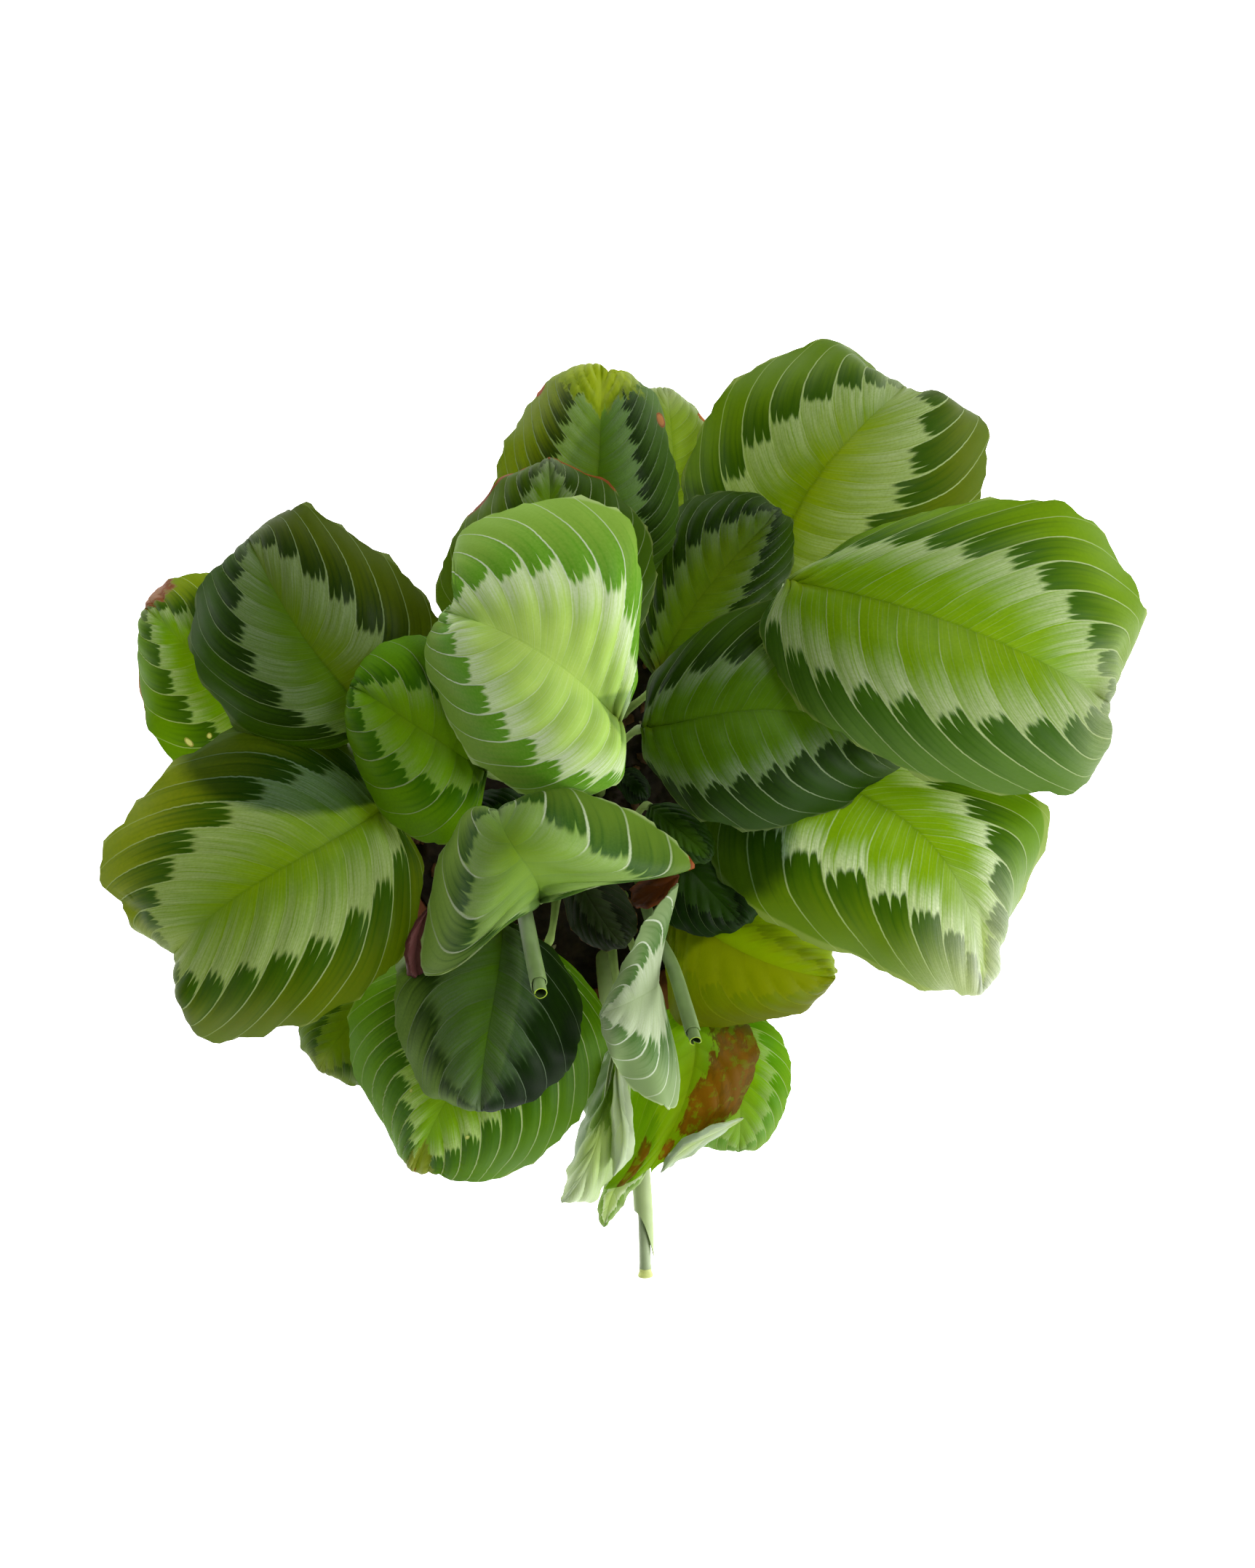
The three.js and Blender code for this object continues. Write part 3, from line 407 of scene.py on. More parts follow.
                 (0.73, 0.37, 0.008, 0.02, "d8dc8c", "88a040"),
                 (0.67, -0.4, 0.006, 0.02, "d8dc8c", "88a040")],
        trim=dict(left=[(0, 1), (0.5, 0.94), (0.6, 0.97), (0.75, 1), (0.8, 0.9), (0.86, 0.77),
                        (0.88, 0.64), (0.9, 0.6), (0.94, 0.66), (1, 0.8)],
                  right=[(0, 1), (0.15, 1.1), (0.3, 1.2), (0.42, 1.04), (0.5, 1), (0.65, 0.97),
                         (0.7, 0.92), (0.78, 0.89), (0.84, 0.95), (0.9, 1.05), (1, 1)])),
    "leaf_bottom_dark": dict(
        tone="dark", band=((0.6, 0.45), (0.45, 0.35)), spacing=0.17, phase=0.4, silver=0.65,
        silver_width=0.7, softness=0.09,
        paint=dict(core="446c04", rib_glow="588408", outer_left="162c06", outer_right="7c9c40",
                   dark="203c08", through_left="2c4800", through_right="84a010"),
        shades=[(0.6, 0.6, 0.5, 0.36, 0.5)],
        trim=dict(left=[(0, 1), (0.6, 0.97), (0.8, 0.9), (0.94, 0.72), (1, 0.6)],
                  right=[(0, 1), (0.1, 1.25), (0.2, 1.3), (0.3, 1.12), (0.4, 1), (0.82, 1), (0.87, 0.9),
                         (0.93, 0.75), (1, 0.6)])),
    "leaf_arched": dict(
        tone="middle", band=((0.66, 0.5), (0.56, 0.45)), spacing=0.17, phase=0.9, vein_width=0.021,
        silver=0.4, silver_width=0.5, softness=0.04, thin=0.22, soft=1.2, bulge=[4, 4], bays=0.0,
        corner=0.02,
        paint=dict(silver="a0b480", core="749834", outer_left="88a848", outer_right="587420",
                   dark="2c5010", shade="54782c", base="486020", vein="d0dcb8", rim="b4c48c"),
        shades=[(0.0, 0.0, 0.14, 1.0, 0.5)],
        patches=[(0.42, -1.02, 0.07, 0.05, "8c4818", "6c3008")]),
    "leaf_folded": dict(
        tone="pale", band=((0.4, 0.4), (0.42, 0.42)), spacing=0.14, phase=0.3, vein_width=0.02,
        silver_width=0.5, softness=0.04, wash=0.6, wash_from=0.75, thin=0.35, soft=0.6, bulge=[1.2, 1],
        bays=0.0, corner=0.02,
        paint=dict(silver="c0ccae", core="a4b48c", outer="849c68", dark="48702c", shade="849c64",
                   rib_glow="acbc94", through="a0b474", vein="e8f0dc"),
        trim=dict(right=[(0, 1), (0.1, 0.76), (0.18, 0.8), (0.27, 0.95), (0.33, 1), (0.42, 0.9),
                         (0.55, 0.8), (0.66, 0.88), (0.8, 1), (1, 1)])),
    "leaf_olive": dict(
        tone="olive", band=((0.5, 0.4), (0.5, 0.4)), spacing=0.12, phase=0.2, silver=0.1, wash=0.0,
        thin=0.6, soft=0.3, bays=0.0, corner=0.0,
        paint=dict(core="889400", dark="7c8c00", outer_left="9cb008", outer_right="6c7400",
                   through_left="b4e000", through_right="98a000", shade="748000", silver="989c10",
                   vein="949c20"),
        shades=[(0.05, 0.0, 0.25, 1.4, 0.45)],
        trim=dict(left=[(0, 1), (0.85, 1), (0.93, 1.15), (0.97, 1.4), (1, 1.8)],
                  right=[(0, 1), (0.4, 1), (0.55, 0.95), (0.65, 0.9), (0.75, 0.92), (0.85, 1.02),
                         (0.93, 1.15), (0.97, 1.4), (1, 1.8)])),
    "leaf_dark_low_right": dict(
        tone="deep", band=((0.5, 0.4), (0.5, 0.4)), spacing=0.12, phase=0.5, silver=0.25,
        paint=dict(core="203c04", outer_left="24440a", outer_right="142c04")),
    "leaf_hanging": dict(
        tone="olive", band=((0.5, 0.4), (0.5, 0.4)), spacing=0.1, phase=0.6, silver=0.1, thin=0.6,
        soft=0.4, quilt=0.4, corner=0.01, until=0.77, ragged=2.2, holes=0.55,
        paint=dict(core="7cac10", outer="7ca80c", dark="74a00c", through="a8d80c", vein="a0c048"),
        patches=[(0.28, 0.8, 0.2, 0.5, "706408", "686008"), (0.42, 0.62, 0.2, 0.42, "8c6008", "745408"),
                 (0.5, 0.35, 0.14, 0.3, "946408", "7c5808"), (0.68, -0.65, 0.1, 0.16, "8a6410", "6c6008"),
                 (0.69, 0.12, 0.04, 0.16, "a0681c", "845c08")],
        trim=dict(left=[(0, 1), (0.52, 1), (0.57, 0.88), (0.62, 0.66), (0.67, 0.48), (0.7, 0.38),
                        (0.74, 0.24), (0.76, 0.2), (1, 0.1)])),
    "leaf_low_bright": dict(
        tone="bright", band=((0.6, 0.5), (0.6, 0.5)), spacing=0.12, phase=0.7, vein_width=0.014,
        silver=0.5, wash=0.3, wash_from=0.5, quilt=0.6,
        paint=dict(core="68a004", outer_left="74a020", outer_right="5c940a", dark="569004"),
        trim=dict(left=[(0, 0.95), (0.3, 0.92), (0.8, 0.88), (0.86, 0.9), (0.93, 1.03), (1, 1)],
                  right=[(0, 1), (0.85, 0.97), (0.9, 0.87), (0.95, 0.7), (1, 0.6)])),
    "leaf_drooping": dict(
        tone="pale", band=((1.2, 1.2), (1.2, 1.2)), spacing=0.2, phase=0.1, silver=0.7, silver_width=0.9,
        wash=1.3, wash_from=0.6, thin=0.35, soft=0.5, corner=0.0,
        paint=dict(core="a0b878", outer="b0c88c", dark="98b470", shade="84a050", silver="dce8cc"),
        shades=[(0.3, -0.95, 0.45, 0.4, 0.6)],
        patches=[(0.25, -0.3, 0.3, 0.9, "6c9420", "84a840")],
        trim=dict(right=[(0, 1.5), (0.15, 1.5), (0.35, 1.2), (0.55, 1), (1, 1)])),
    "leaf_top_small": dict(
        tone="bright", band=((0.9, 0.8), (0.9, 0.8)), spacing=0.1, phase=0.3, wash=1.2, wash_from=0.7,
        paint=dict(core="80983c", outer="809438", silver="c4ccac", dark="6c8c20", through="a0b040"),
        patches=[(0.66, 0.3, 0.03, 0.1, "c87838", "a05420"), (0.7, -0.85, 0.03, 0.1, "c87838", "a05420")],
        trim=dict(left=[(0, 1), (0.8, 1), (0.86, 0.87), (0.92, 0.7), (1, 0.6)],
                  right=[(0, 1), (0.66, 0.95), (0.7, 0.84), (0.85, 0.87), (0.95, 0.95), (1, 1)])),
    "leaf_ragged": dict(
        tone="deep", band=((0.4, 0.4), (0.4, 0.4)), spacing=0.1, phase=0.3, silver=0.3),
    "leaf_small_centre": dict(
        tone="deep", band=((0.4, 0.4), (0.4, 0.4)), spacing=0.1, phase=0.8, silver=0.5),
    "leaf_small_right": dict(
        tone="deep", band=((0.5, 0.5), (0.5, 0.5)), spacing=0.12, phase=0.5, silver=0.3,
        paint=dict(core="3c6008", rib_glow="44680a", outer="2a4a0a", dark="203c08", shade="2c4c08",
                   base="3c5c08")),
    "leaf_small_low": dict(
        tone="purple", band=((0.4, 0.4), (0.4, 0.4)), spacing=0.12, phase=0.2, silver=0.5,
        paint=dict(core="30401c", rib_glow="384824", outer="26341a", dark="1a2610", silver="48543c",
                   through="344c10")),
}

for leaf in LEAVES:
    length = math.dist(leaf["spine"][0], leaf["spine"][3])
    size = min(1.0, length / FULL_LENGTH)
    corner = LARGE_CORNER if length > ANGULAR_FROM else SMALL_CORNER
    leaf.update(USUAL, size=size, quilt=QUILT_HEIGHT * size, corner=corner)
    leaf.update(LOOKS[leaf["name"]])
print("leaves:", len(LEAVES))

# %% [markdown]
# ## From a few points to a smooth surface
#
# The midrib is the cubic through its four points, and each margin is a smooth curve through
# its points. A blade is then woven between them: u runs along the midrib, v runs from the
# right margin (-1) over the midrib (0) to the left margin (1). Each half arches up a little,
# and the margin waves. Working with whole arrays keeps this fast.

# %% Blade surface
WAVES = 3.5
WAVE_SHIFT = 2.0
# With this factor the top of the arch is about as high as `bulge` says.
ARCH_FACTOR = 4.3
# The upward direction is measured over this much of u, and not right at the ends.
NEARBY = 0.02
END_INSET = 0.05


def midrib(spine, u):
    """Points of the midrib; u is an array of any shape."""
    spine = np.array(spine, float)
    a, b, c = 3 * u - 1, 3 * u - 2, u - 1
    weights = [-0.5 * a * b * c, 4.5 * u * b * c, -4.5 * u * a * c, 0.5 * u * a * b]
    return sum(w[..., None] * p for w, p in zip(weights, spine))


def margin(leaf, side, u):
    """Points of the left or right margin."""
    knots = np.array([leaf["spine"][0], *leaf[side], leaf["spine"][3]], float)
    last = len(knots) - 1
    place = np.clip(u, 0, 1) * last
    i = np.minimum(np.floor(place).astype(int), last - 1)
    t = (place - i)[..., None]
    start, end = knots[i], knots[i + 1]
    slope_in = (end - knots[np.maximum(i - 1, 0)]) / 2
    slope_out = (knots[np.minimum(i + 2, last)] - start) / 2
    return (start * (2 * t**3 - 3 * t**2 + 1) + slope_in * (t**3 - 2 * t**2 + t)
            + end * (3 * t**2 - 2 * t**3) + slope_out * (t**3 - t**2))


def rounded_reach(reach, softness):
    """Like reach, but flat over the midrib, so that the two halves meet without a crease."""
    return (np.sqrt(reach**2 + softness**2) - softness) / (math.sqrt(1 + softness**2) - softness)


def blade(leaf, u, v):
    """The smooth middle surface of a leaf, rounded over the midrib."""
    inner = np.clip(u, END_INSET, 1 - END_INSET)
    along = midrib(leaf["spine"], inner + NEARBY) - midrib(leaf["spine"], inner - NEARBY)
    across = margin(leaf, "left", inner) - margin(leaf, "right", inner)
    up = np.cross(along, across)
    up /= np.linalg.norm(up, axis=-1, keepdims=True)
    reach = np.abs(v)
    soft = rounded_reach(reach, leaf["soft"])
    ends = np.sqrt(np.maximum(4 * u * (1 - u), 0))
    bulge = np.where(v < 0, leaf["bulge"][1], leaf["bulge"][0])
    arch = ARCH_FACTOR * bulge * ends * soft * (1 - reach)
    waving = leaf["wave"] * ends * reach**3 * np.sin(2 * math.pi * WAVES * u + WAVE_SHIFT * v)
    edge = np.where((v < 0)[..., None], margin(leaf, "right", u), margin(leaf, "left", u))
    rib = midrib(leaf["spine"], u)
    out = edge - rib
    rise = np.sum(out * up, axis=-1)
    return rib + out * reach[..., None] + up * (arch + waving + rise * (soft - reach))[..., None]


halfway = blade(LEAVES[0], np.array([0.5]), np.array([0.5]))[0]
print(LEAVES[0]["name"], "halfway along and halfway out:", np.round(halfway, 1), "mm")


# %% [markdown]
# ## Relief: the quilting between the veins
#
# Between two side veins the blade swells like a cushion, and it dips along the midrib. This
# is real shape that catches the light, so it goes into the mesh. The side veins leave the
# midrib and sweep forward: a vein that starts at u0 on the midrib is at u0 + sweep (1 - u0^2)
# further out. Solved for u0, that gives every point of the blade its vein number. The paint
# below uses the same numbers, so veins and quilting agree. The margin follows them too: it
# reaches out where a vein ends and is drawn in between two veins. Small leaves are smoother.

# %% Relief
SWEEP = 0.26
SWEEP_BEND = 0.14
MEAN_CUSHION = 0.6
# Waves of the margin along a leaf, their depth, and the number of its flat stretches.
RIPPLES = (11, 17, 29)
RIPPLE_DEPTH = 0.005
CORNERS = 4.6


def smooth(low, high, x):
    """0 below low, 1 above high and an S-curve between."""
    t = np.clip((x - low) / (high - low), 0, 1)
    return t * t * (3 - 2 * t)


def vein_number(leaf, u, v):
    """Whole on a side vein and in between elsewhere; the two halves of the leaf differ by a shift."""
    reach = np.abs(v)
    sweep = leaf["sweep"] * (SWEEP * reach + SWEEP_BEND * reach**3)
    beyond = u - sweep
    start = 2 * beyond / (1 + np.sqrt(np.maximum(1 - 4 * sweep * beyond, 0)))
    return start / leaf["spacing"] + leaf["phase"] * np.sign(v)


def cushions(leaf, u, v):
    """0 on a side vein and 1 halfway between two."""
    return np.abs(np.sin(math.pi * vein_number(leaf, u, v)))


def relief(leaf, u, v):
    """Height in millimetres above the middle surface."""
    reach = np.abs(v)
    phase = leaf["phase"]
    at_ends = smooth(0, 0.1, u) * smooth(0, 0.06, 1 - u)
    # Cushions between the side veins, flatter near the midrib, the margin and the tip.
    where = smooth(0.04, 0.3, reach) * (1 - 0.8 * smooth(0.5, 0.95, reach)) * smooth(0.0, 0.08, 1 - u)
    quilting = leaf["quilt"] * (cushions(leaf, u, v) ** 0.8 - MEAN_CUSHION) * where
    # A groove over the midrib that gets shallower towards the tip.
    groove = -0.25 * np.exp(-((reach / 0.03) ** 2)) * (1 - 0.7 * u)
    # A frill at the margin, and a slow swell of the whole blade.
    ripple = np.sin(2 * math.pi * 5.3 * u + 5 * phase) + 0.6 * np.sin(2 * math.pi * 8.7 * u + 3 * v)
    frill = (0.1 + 0.5 * u) * reach**6 * ripple * at_ends
    swell = 0.8 * np.sin(7 * u + 9 * phase) * np.sin(4 * v + 5 * phase) * at_ends * reach
    height = quilting + groove + (frill + swell) * leaf["size"]
    for centre_u, centre_v, half_u, half_v, rise in leaf["curls"]:
        height = height + rise * np.exp(-((u - centre_u) / half_u) ** 2 - ((v - centre_v) / half_v) ** 2)
    return height


def trimmed(leaf, u, v):
    """Where the margin is torn, notched or wider than its smooth curve, v is scaled to fit."""
    scale = np.ones_like(u)
    for side, chosen in (("right", v < 0), ("left", v >= 0)):
        if side in leaf["trim"]:
            place, share = np.array(leaf["trim"][side]).T
            scale = np.where(chosen, np.interp(u, place, share), scale)
    chance = np.random.default_rng(int(leaf["phase"] * 100) + 7)
    for waves in RIPPLES:
        scale = scale + RIPPLE_DEPTH * np.sin(2 * math.pi * (waves * u + chance.uniform()) + np.sign(v))
    edge = np.where(v < 0, -1.0, 1.0)
    bays = cushions(leaf, u, edge) - MEAN_CUSHION
    scale = scale - leaf["bays"] * bays * smooth(0.15, 0.4, u)
    corners = np.abs((CORNERS * u + leaf["phase"] + 0.3 * np.sign(v)) % 1 - 0.5)
    return v * (scale - leaf["corner"] * (corners - 0.25) * smooth(0.1, 0.3, u))


print("side veins on each half of a leaf:", sorted({round(1 / leaf["spacing"]) for leaf in LEAVES}))


# %% [markdown]
# ## A thin sheet with two sides
#
# A leaf is a sheet about half a millimetre thick. `shell` takes a grid of points, lays one
# skin on each side of it and closes the rim, so the mesh is a closed body. It also stores
# where each vertex is on the leaf in a UV map, which is what the paint is drawn with. The
# upper and the lower skin get their own material, since a leaf's underside looks different.

# %% Sheet builder
def grid_normals(points):
    """Unit normals of a grid of points, from its neighbours along and across."""
    along = np.gradient(points, axis=0)
    across = np.gradient(points, axis=1)
    normals = np.cross(along, across)
    return normals / np.maximum(np.linalg.norm(normals, axis=-1, keepdims=True), 1e-9)


def shell(points, uv, thickness, upper=0, under=1):
    """Vertices, faces, UVs and material numbers of a closed thin sheet."""
    rows, columns = points.shape[:2]
    count = rows * columns
    offset = grid_normals(points) * thickness / 2
    vertices = np.concatenate([(points + offset).reshape(-1, 3), (points - offset).reshape(-1, 3)])
    index = np.arange(count).reshape(rows, columns)
    a, b = index[:-1, :-1].ravel(), index[1:, :-1].ravel()
    c, d = index[1:, 1:].ravel(), index[:-1, 1:].ravel()
    top = np.stack([a, b, c, d], 1)
    low = np.stack([d, c, b, a], 1) + count
    rim = np.concatenate([index[0, :], index[1:, -1], index[-1, -2::-1], index[-2:0:-1, 0]])
    after = np.roll(rim, -1)
    wall = np.stack([rim, after, after + count, rim + count], 1)
    faces = np.concatenate([top, low, wall]).tolist()
    slots = [upper] * len(top) + [under] * len(low) + [upper] * len(wall)
    return vertices, faces, np.concatenate([uv.reshape(-1, 2)] * 2), slots


def new_piece(name, parts, materials, sharp=40):
    """One object in metres from several (vertices, faces, uv, material numbers) in millimetres."""
    start, vertices, faces, uvs, slots = 0, [], [], [], []
    for part_vertices, part_faces, part_uv, part_slots in parts:
        vertices.append(np.asarray(part_vertices))
        faces += [[corner + start for corner in face] for face in part_faces]
        uvs.append(np.asarray(part_uv))
        slots += list(part_slots)
        start += len(part_vertices)
    vertices, uvs = np.concatenate(vertices) * MM, np.concatenate(uvs)
    corners = np.array([corner for face in faces for corner in face])
    mesh = bpy.data.meshes.new(name)
    mesh.from_pydata(vertices.tolist(), [], faces)
    mesh.uv_layers.new(name="leaf place").data.foreach_set("uv", uvs[corners].ravel())
    mesh.polygons.foreach_set("material_index", np.array(slots, np.int32))
    mesh.polygons.foreach_set("use_smooth", np.ones(len(faces), bool))
    mesh.set_sharp_from_angle(angle=math.radians(sharp))
    for material in materials:
        mesh.materials.append(material)
    piece = bpy.data.objects.new(name, mesh)
    scene.collection.objects.link(piece)
    return piece


grid = np.stack(np.meshgrid([0.0, 1.0, 2.0], [0.0, 1.0], [0.0], indexing="ij"), -1)[:, :, 0]
print("a sheet from 3 by 2 points has", len(shell(grid, grid[..., :2], 0.5)[1]), "faces")

# %% [markdown]
# ## Stalks
#
# The stalk rises from the soil, arches over and runs on as the raised rib under the blade.
# Just below the blade it swells into a short joint, with which the plant tilts its leaves at
# night. A tube with a changing radius along a smooth path makes all of it in one piece.

# %% Tube builder
def smooth_path(points, count):
    """Evenly spaced points of a rounded curve through the given ones."""
    points = np.array(points, float)
    steps = np.linalg.norm(np.diff(points, axis=0), axis=1) ** 0.5
    knots = np.concatenate([[0], np.cumsum(steps)])
    slopes = np.gradient(points, knots, axis=0)
    fine = np.linspace(0, knots[-1], 40 * len(points))
    i = np.clip(np.searchsorted(knots, fine, side="right") - 1, 0, len(points) - 2)
    width = (knots[i + 1] - knots[i])[:, None]
    t = ((fine - knots[i])[:, None]) / width
    curve = (points[i] * (2 * t**3 - 3 * t**2 + 1) + slopes[i] * width * (t**3 - 2 * t**2 + t)
             + points[i + 1] * (3 * t**2 - 2 * t**3) + slopes[i + 1] * width * (t**3 - t**2))
    length = np.concatenate([[0], np.cumsum(np.linalg.norm(np.diff(curve, axis=0), axis=1))])
    even = np.linspace(0, length[-1], count)
    return np.stack([np.interp(even, length, curve[:, k]) for k in range(3)], 1), length[-1]


def turning_frames(path):
    """Two directions across the path at each point, carried along it without twisting."""
    tangents = np.gradient(path, axis=0)
    tangents /= np.linalg.norm(tangents, axis=1, keepdims=True)
    first = np.cross(tangents[0], (0.3, 1.0, 0.2))
    sides = [first / np.linalg.norm(first)]
    for tangent in tangents[1:]:
        side = sides[-1] - tangent * np.dot(sides[-1], tangent)
        sides.append(side / np.linalg.norm(side))
    sides = np.array(sides)
    return tangents, sides, np.cross(tangents, sides)


def joined_rings(points, uv, slot):
    """A closed body from rings of points, each ring joined to the next and the end ones filled."""
    count, around = points.shape[:2]
    k = np.arange(around)
    after = (k + 1) % around
    bands = [np.stack([i * around + k, i * around + after, (i + 1) * around + after, (i + 1) * around + k], 1)
             for i in range(count - 1)]
    faces = np.concatenate(bands).tolist()
    faces += [k[::-1].tolist(), ((count - 1) * around + k).tolist()]
    return points.reshape(-1, 3), faces, uv.reshape(-1, 2), [slot] * len(faces)


def tube(path, radii, around=14, slot=0):
    """A closed round tube with a radius for each point of its path."""
    _, side, other = turning_frames(path)
    angle = np.linspace(0, 2 * math.pi, around, endpoint=False)
    ring = side[:, None] * np.cos(angle)[None, :, None] + other[:, None] * np.sin(angle)[None, :, None]
    points = path[:, None] + ring * np.asarray(radii)[:, None, None]
    uv = np.stack(np.meshgrid(np.linspace(0, 1, len(path)), angle / (2 * math.pi), indexing="ij"), -1)
    return joined_rings(points, uv, slot)


# The stalk starts SUNK deep in the soil and goes up, UPRIGHT of the way straight. It arrives at
# the blade's base from BACKWARD behind it and BELOW it, seen along the first INTO_BLADE of u.
SUNK = 9.0
INTO_BLADE = 0.1
BACKWARD, BELOW = 5, 10
UPRIGHT = 0.45
BENDS = 5


def stalk_path(leaf):
    """The same way from soil to blade that the solids take."""
    x, y = leaf["foot"]
    base, rib = midrib(leaf["spine"], np.array([0.0, INTO_BLADE]))
    along = (rib - base) / np.linalg.norm(rib - base)
    start = np.array([x, y, SOIL_TOP])
    sunk = np.array([x, y, SOIL_TOP - SUNK])
    if leaf.get("stalk"):
        return [sunk, start, *[np.array(p, float) for p in leaf["stalk"]], base]
    arrival = base - BACKWARD * along - (0, 0, BELOW)
    lifted = start + (0, 0, UPRIGHT * (base[2] - SOIL_TOP))
    t = np.linspace(0, 1, BENDS + 1)[:, None]
    arc = start * (1 - t)**3 + 3 * lifted * t * (1 - t)**2 + 3 * arrival * t**2 * (1 - t) + base * t**3
    return [sunk, *arc]


print("stalk of", LEAVES[0]["name"], "is", round(smooth_path(stalk_path(LEAVES[0]), 36)[1]), "mm long")


# %% [markdown]
# ## Shader maths that reads like maths
#
# The paint of a leaf is drawn by formula from its u and v. Written out node by node that is
# hard to follow, so a `Wire` stands for one value in a node tree: adding or multiplying wires
# puts in the Math node that does it.

# %% Wire
class Wire:
    """One value in a node tree; arithmetic on it adds Math nodes."""

    def __init__(self, tree, socket):
        self.tree = tree
        self.socket = socket

    def math(self, operation, *others):
        node = self.tree.nodes.new("ShaderNodeMath")
        node.operation = operation
        for i, value in enumerate((self, *others)):
            if isinstance(value, Wire):
                self.tree.links.new(value.socket, node.inputs[i])
            else:
                node.inputs[i].default_value = value
        return Wire(self.tree, node.outputs[0])

    def __add__(self, other):
        return self.math("ADD", other)

    def __sub__(self, other):
        return self.math("SUBTRACT", other)

    def __mul__(self, other):
        return self.math("MULTIPLY", other)

    def __truediv__(self, other):
        return self.math("DIVIDE", other)

    def __pow__(self, other):
        return self.math("POWER", other)

    def flipped(self):
        """One minus this value."""
        return self * -1.0 + 1.0

    def near_whole(self):
        """1 at whole numbers, falling evenly to 0 halfway between them."""
        return ((self + 0.5).math("FRACT") - 0.5).math("ABSOLUTE") * -2.0 + 1.0

    def rise(self, low, high):
        """An S-curve from 0 at low to 1 at high; the ends may be wires too."""
        node = self.tree.nodes.new("ShaderNodeMapRange")
        node.interpolation_type = "SMOOTHSTEP"
        self.tree.links.new(self.socket, node.inputs["Value"])
        for label, value in (("From Min", low), ("From Max", high)):
            if isinstance(value, Wire):
                self.tree.links.new(value.socket, node.inputs[label])
            else:
                node.inputs[label].default_value = value
        return Wire(self.tree, node.outputs["Result"])


def mixed(amount, first, second, way="MIX"):
    """One colour laid over another by an amount; colours are wires or (r, g, b)."""
    tree = amount.tree
    node = tree.nodes.new("ShaderNodeMix")
    node.data_type = "RGBA"
    node.blend_type = way
    node.clamp_factor = True
    tree.links.new(amount.socket, node.inputs["Factor"])
    for label, value in (("A", first), ("B", second)):
        socket = [s for s in node.inputs if s.name == label and s.type == "RGBA"][0]
        if isinstance(value, Wire):
            tree.links.new(value.socket, socket)
        else:
            socket.default_value = (*value[:3], 1.0)
    return Wire(tree, [s for s in node.outputs if s.type == "RGBA"][0])


def noise(tree, scale, detail=3.0, rough=0.5, *, at, seed):
    """Soft cloudy values around 0.5, at a place given by a vector wire."""
    node = tree.nodes.new("ShaderNodeTexNoise")
    node.noise_dimensions = "4D"
    node.inputs["W"].default_value = seed
    node.inputs["Scale"].default_value = scale
    node.inputs["Detail"].default_value = detail
    node.inputs["Roughness"].default_value = rough
    tree.links.new(at.socket, node.inputs["Vector"])
    return Wire(tree, node.outputs["Fac"])


def vector(tree, x, y):
    """A vector wire from two values, with no height."""
    node = tree.nodes.new("ShaderNodeCombineXYZ")
    for label, value in (("X", x), ("Y", y)):
        if isinstance(value, Wire):
            tree.links.new(value.socket, node.inputs[label])
        else:
            node.inputs[label].default_value = value
    return Wire(tree, node.outputs[0])


KINDS = {"value": "NodeSocketFloat", "colour": "NodeSocketColor"}


def new_group(name, inputs, outputs, draw):
    """A node group. An input with one number is a value, and one with three numbers is a colour.

    `draw` gets the group's tree and its input wires, and returns the output wires."""
    group = bpy.data.node_groups.new(name, "ShaderNodeTree")
    for label, usual in inputs.items():
        kind = "colour" if isinstance(usual, tuple) else "value"
        socket = group.interface.new_socket(label, in_out="INPUT", socket_type=KINDS[kind])
        socket.default_value = (*usual, 1.0) if kind == "colour" else usual
    for label, kind in outputs.items():
        group.interface.new_socket(label, in_out="OUTPUT", socket_type=KINDS[kind])
    start = group.nodes.new("NodeGroupInput")
    end = group.nodes.new("NodeGroupOutput")
    made = draw(group, {label: Wire(group, start.outputs[label]) for label in inputs})
    for label in outputs:
        group.links.new(made[label].socket, end.inputs[label])
    print("group", name, "with", len(group.nodes), "nodes")
    return group


def use_group(tree, group, **values):
    """Places a group and returns its outputs as wires; an underscore in a name stands for a space."""
    node = tree.nodes.new("ShaderNodeGroup")
    node.node_tree = group
    for label, value in values.items():
        socket = node.inputs[label.replace("_", " ")]
        if isinstance(value, Wire):
            tree.links.new(value.socket, socket)
        elif isinstance(value, (tuple, list)):
            socket.default_value = (*value[:3], 1.0)
        else:
            socket.default_value = value
    return {socket.name: Wire(tree, socket) for socket in node.outputs}


# %% [markdown]
# ## Group: vein lines
#
# Side veins leave the midrib on both sides, run outwards and bend forward, less and less so
# towards the tip. The group turns u and v into a vein number, the same as in the relief, and
# draws a line wherever that number is whole. It also gives the reach, which is 0 on the
# midrib and 1 on the margin.

# %% Vein lines
def draw_vein_lines(tree, wire):
    """Vein number, reach, the pale lines, and 1 on the leaf's left half."""
    signed = wire["V"] * 2.0 - 1.0
    reach = signed.math("ABSOLUTE")
    sweep = (reach * SWEEP + reach**3.0 * SWEEP_BEND) * wire["Sweep"]
    beyond = wire["U"] - sweep
    root = (sweep * beyond * -4.0 + 1.0).math("MAXIMUM", 0.0).math("SQRT")
    start = beyond * 2.0 / (root + 1.0)
    wobble = noise(tree, 3.0, 2.0, at=vector(tree, wire["U"], signed), seed=2.0) - 0.5
    number = start / wire["Spacing"] + signed.math("SIGN") * wire["Phase"] + wobble * 0.2
    width = wire["Width"] * (reach * -0.7 + 1.3)
    line = number.near_whole().rise(width.flipped(), (width * 0.3).flipped())
    return {"Number": number, "Reach": reach, "Line": line, "Left": signed.rise(-0.01, 0.01)}


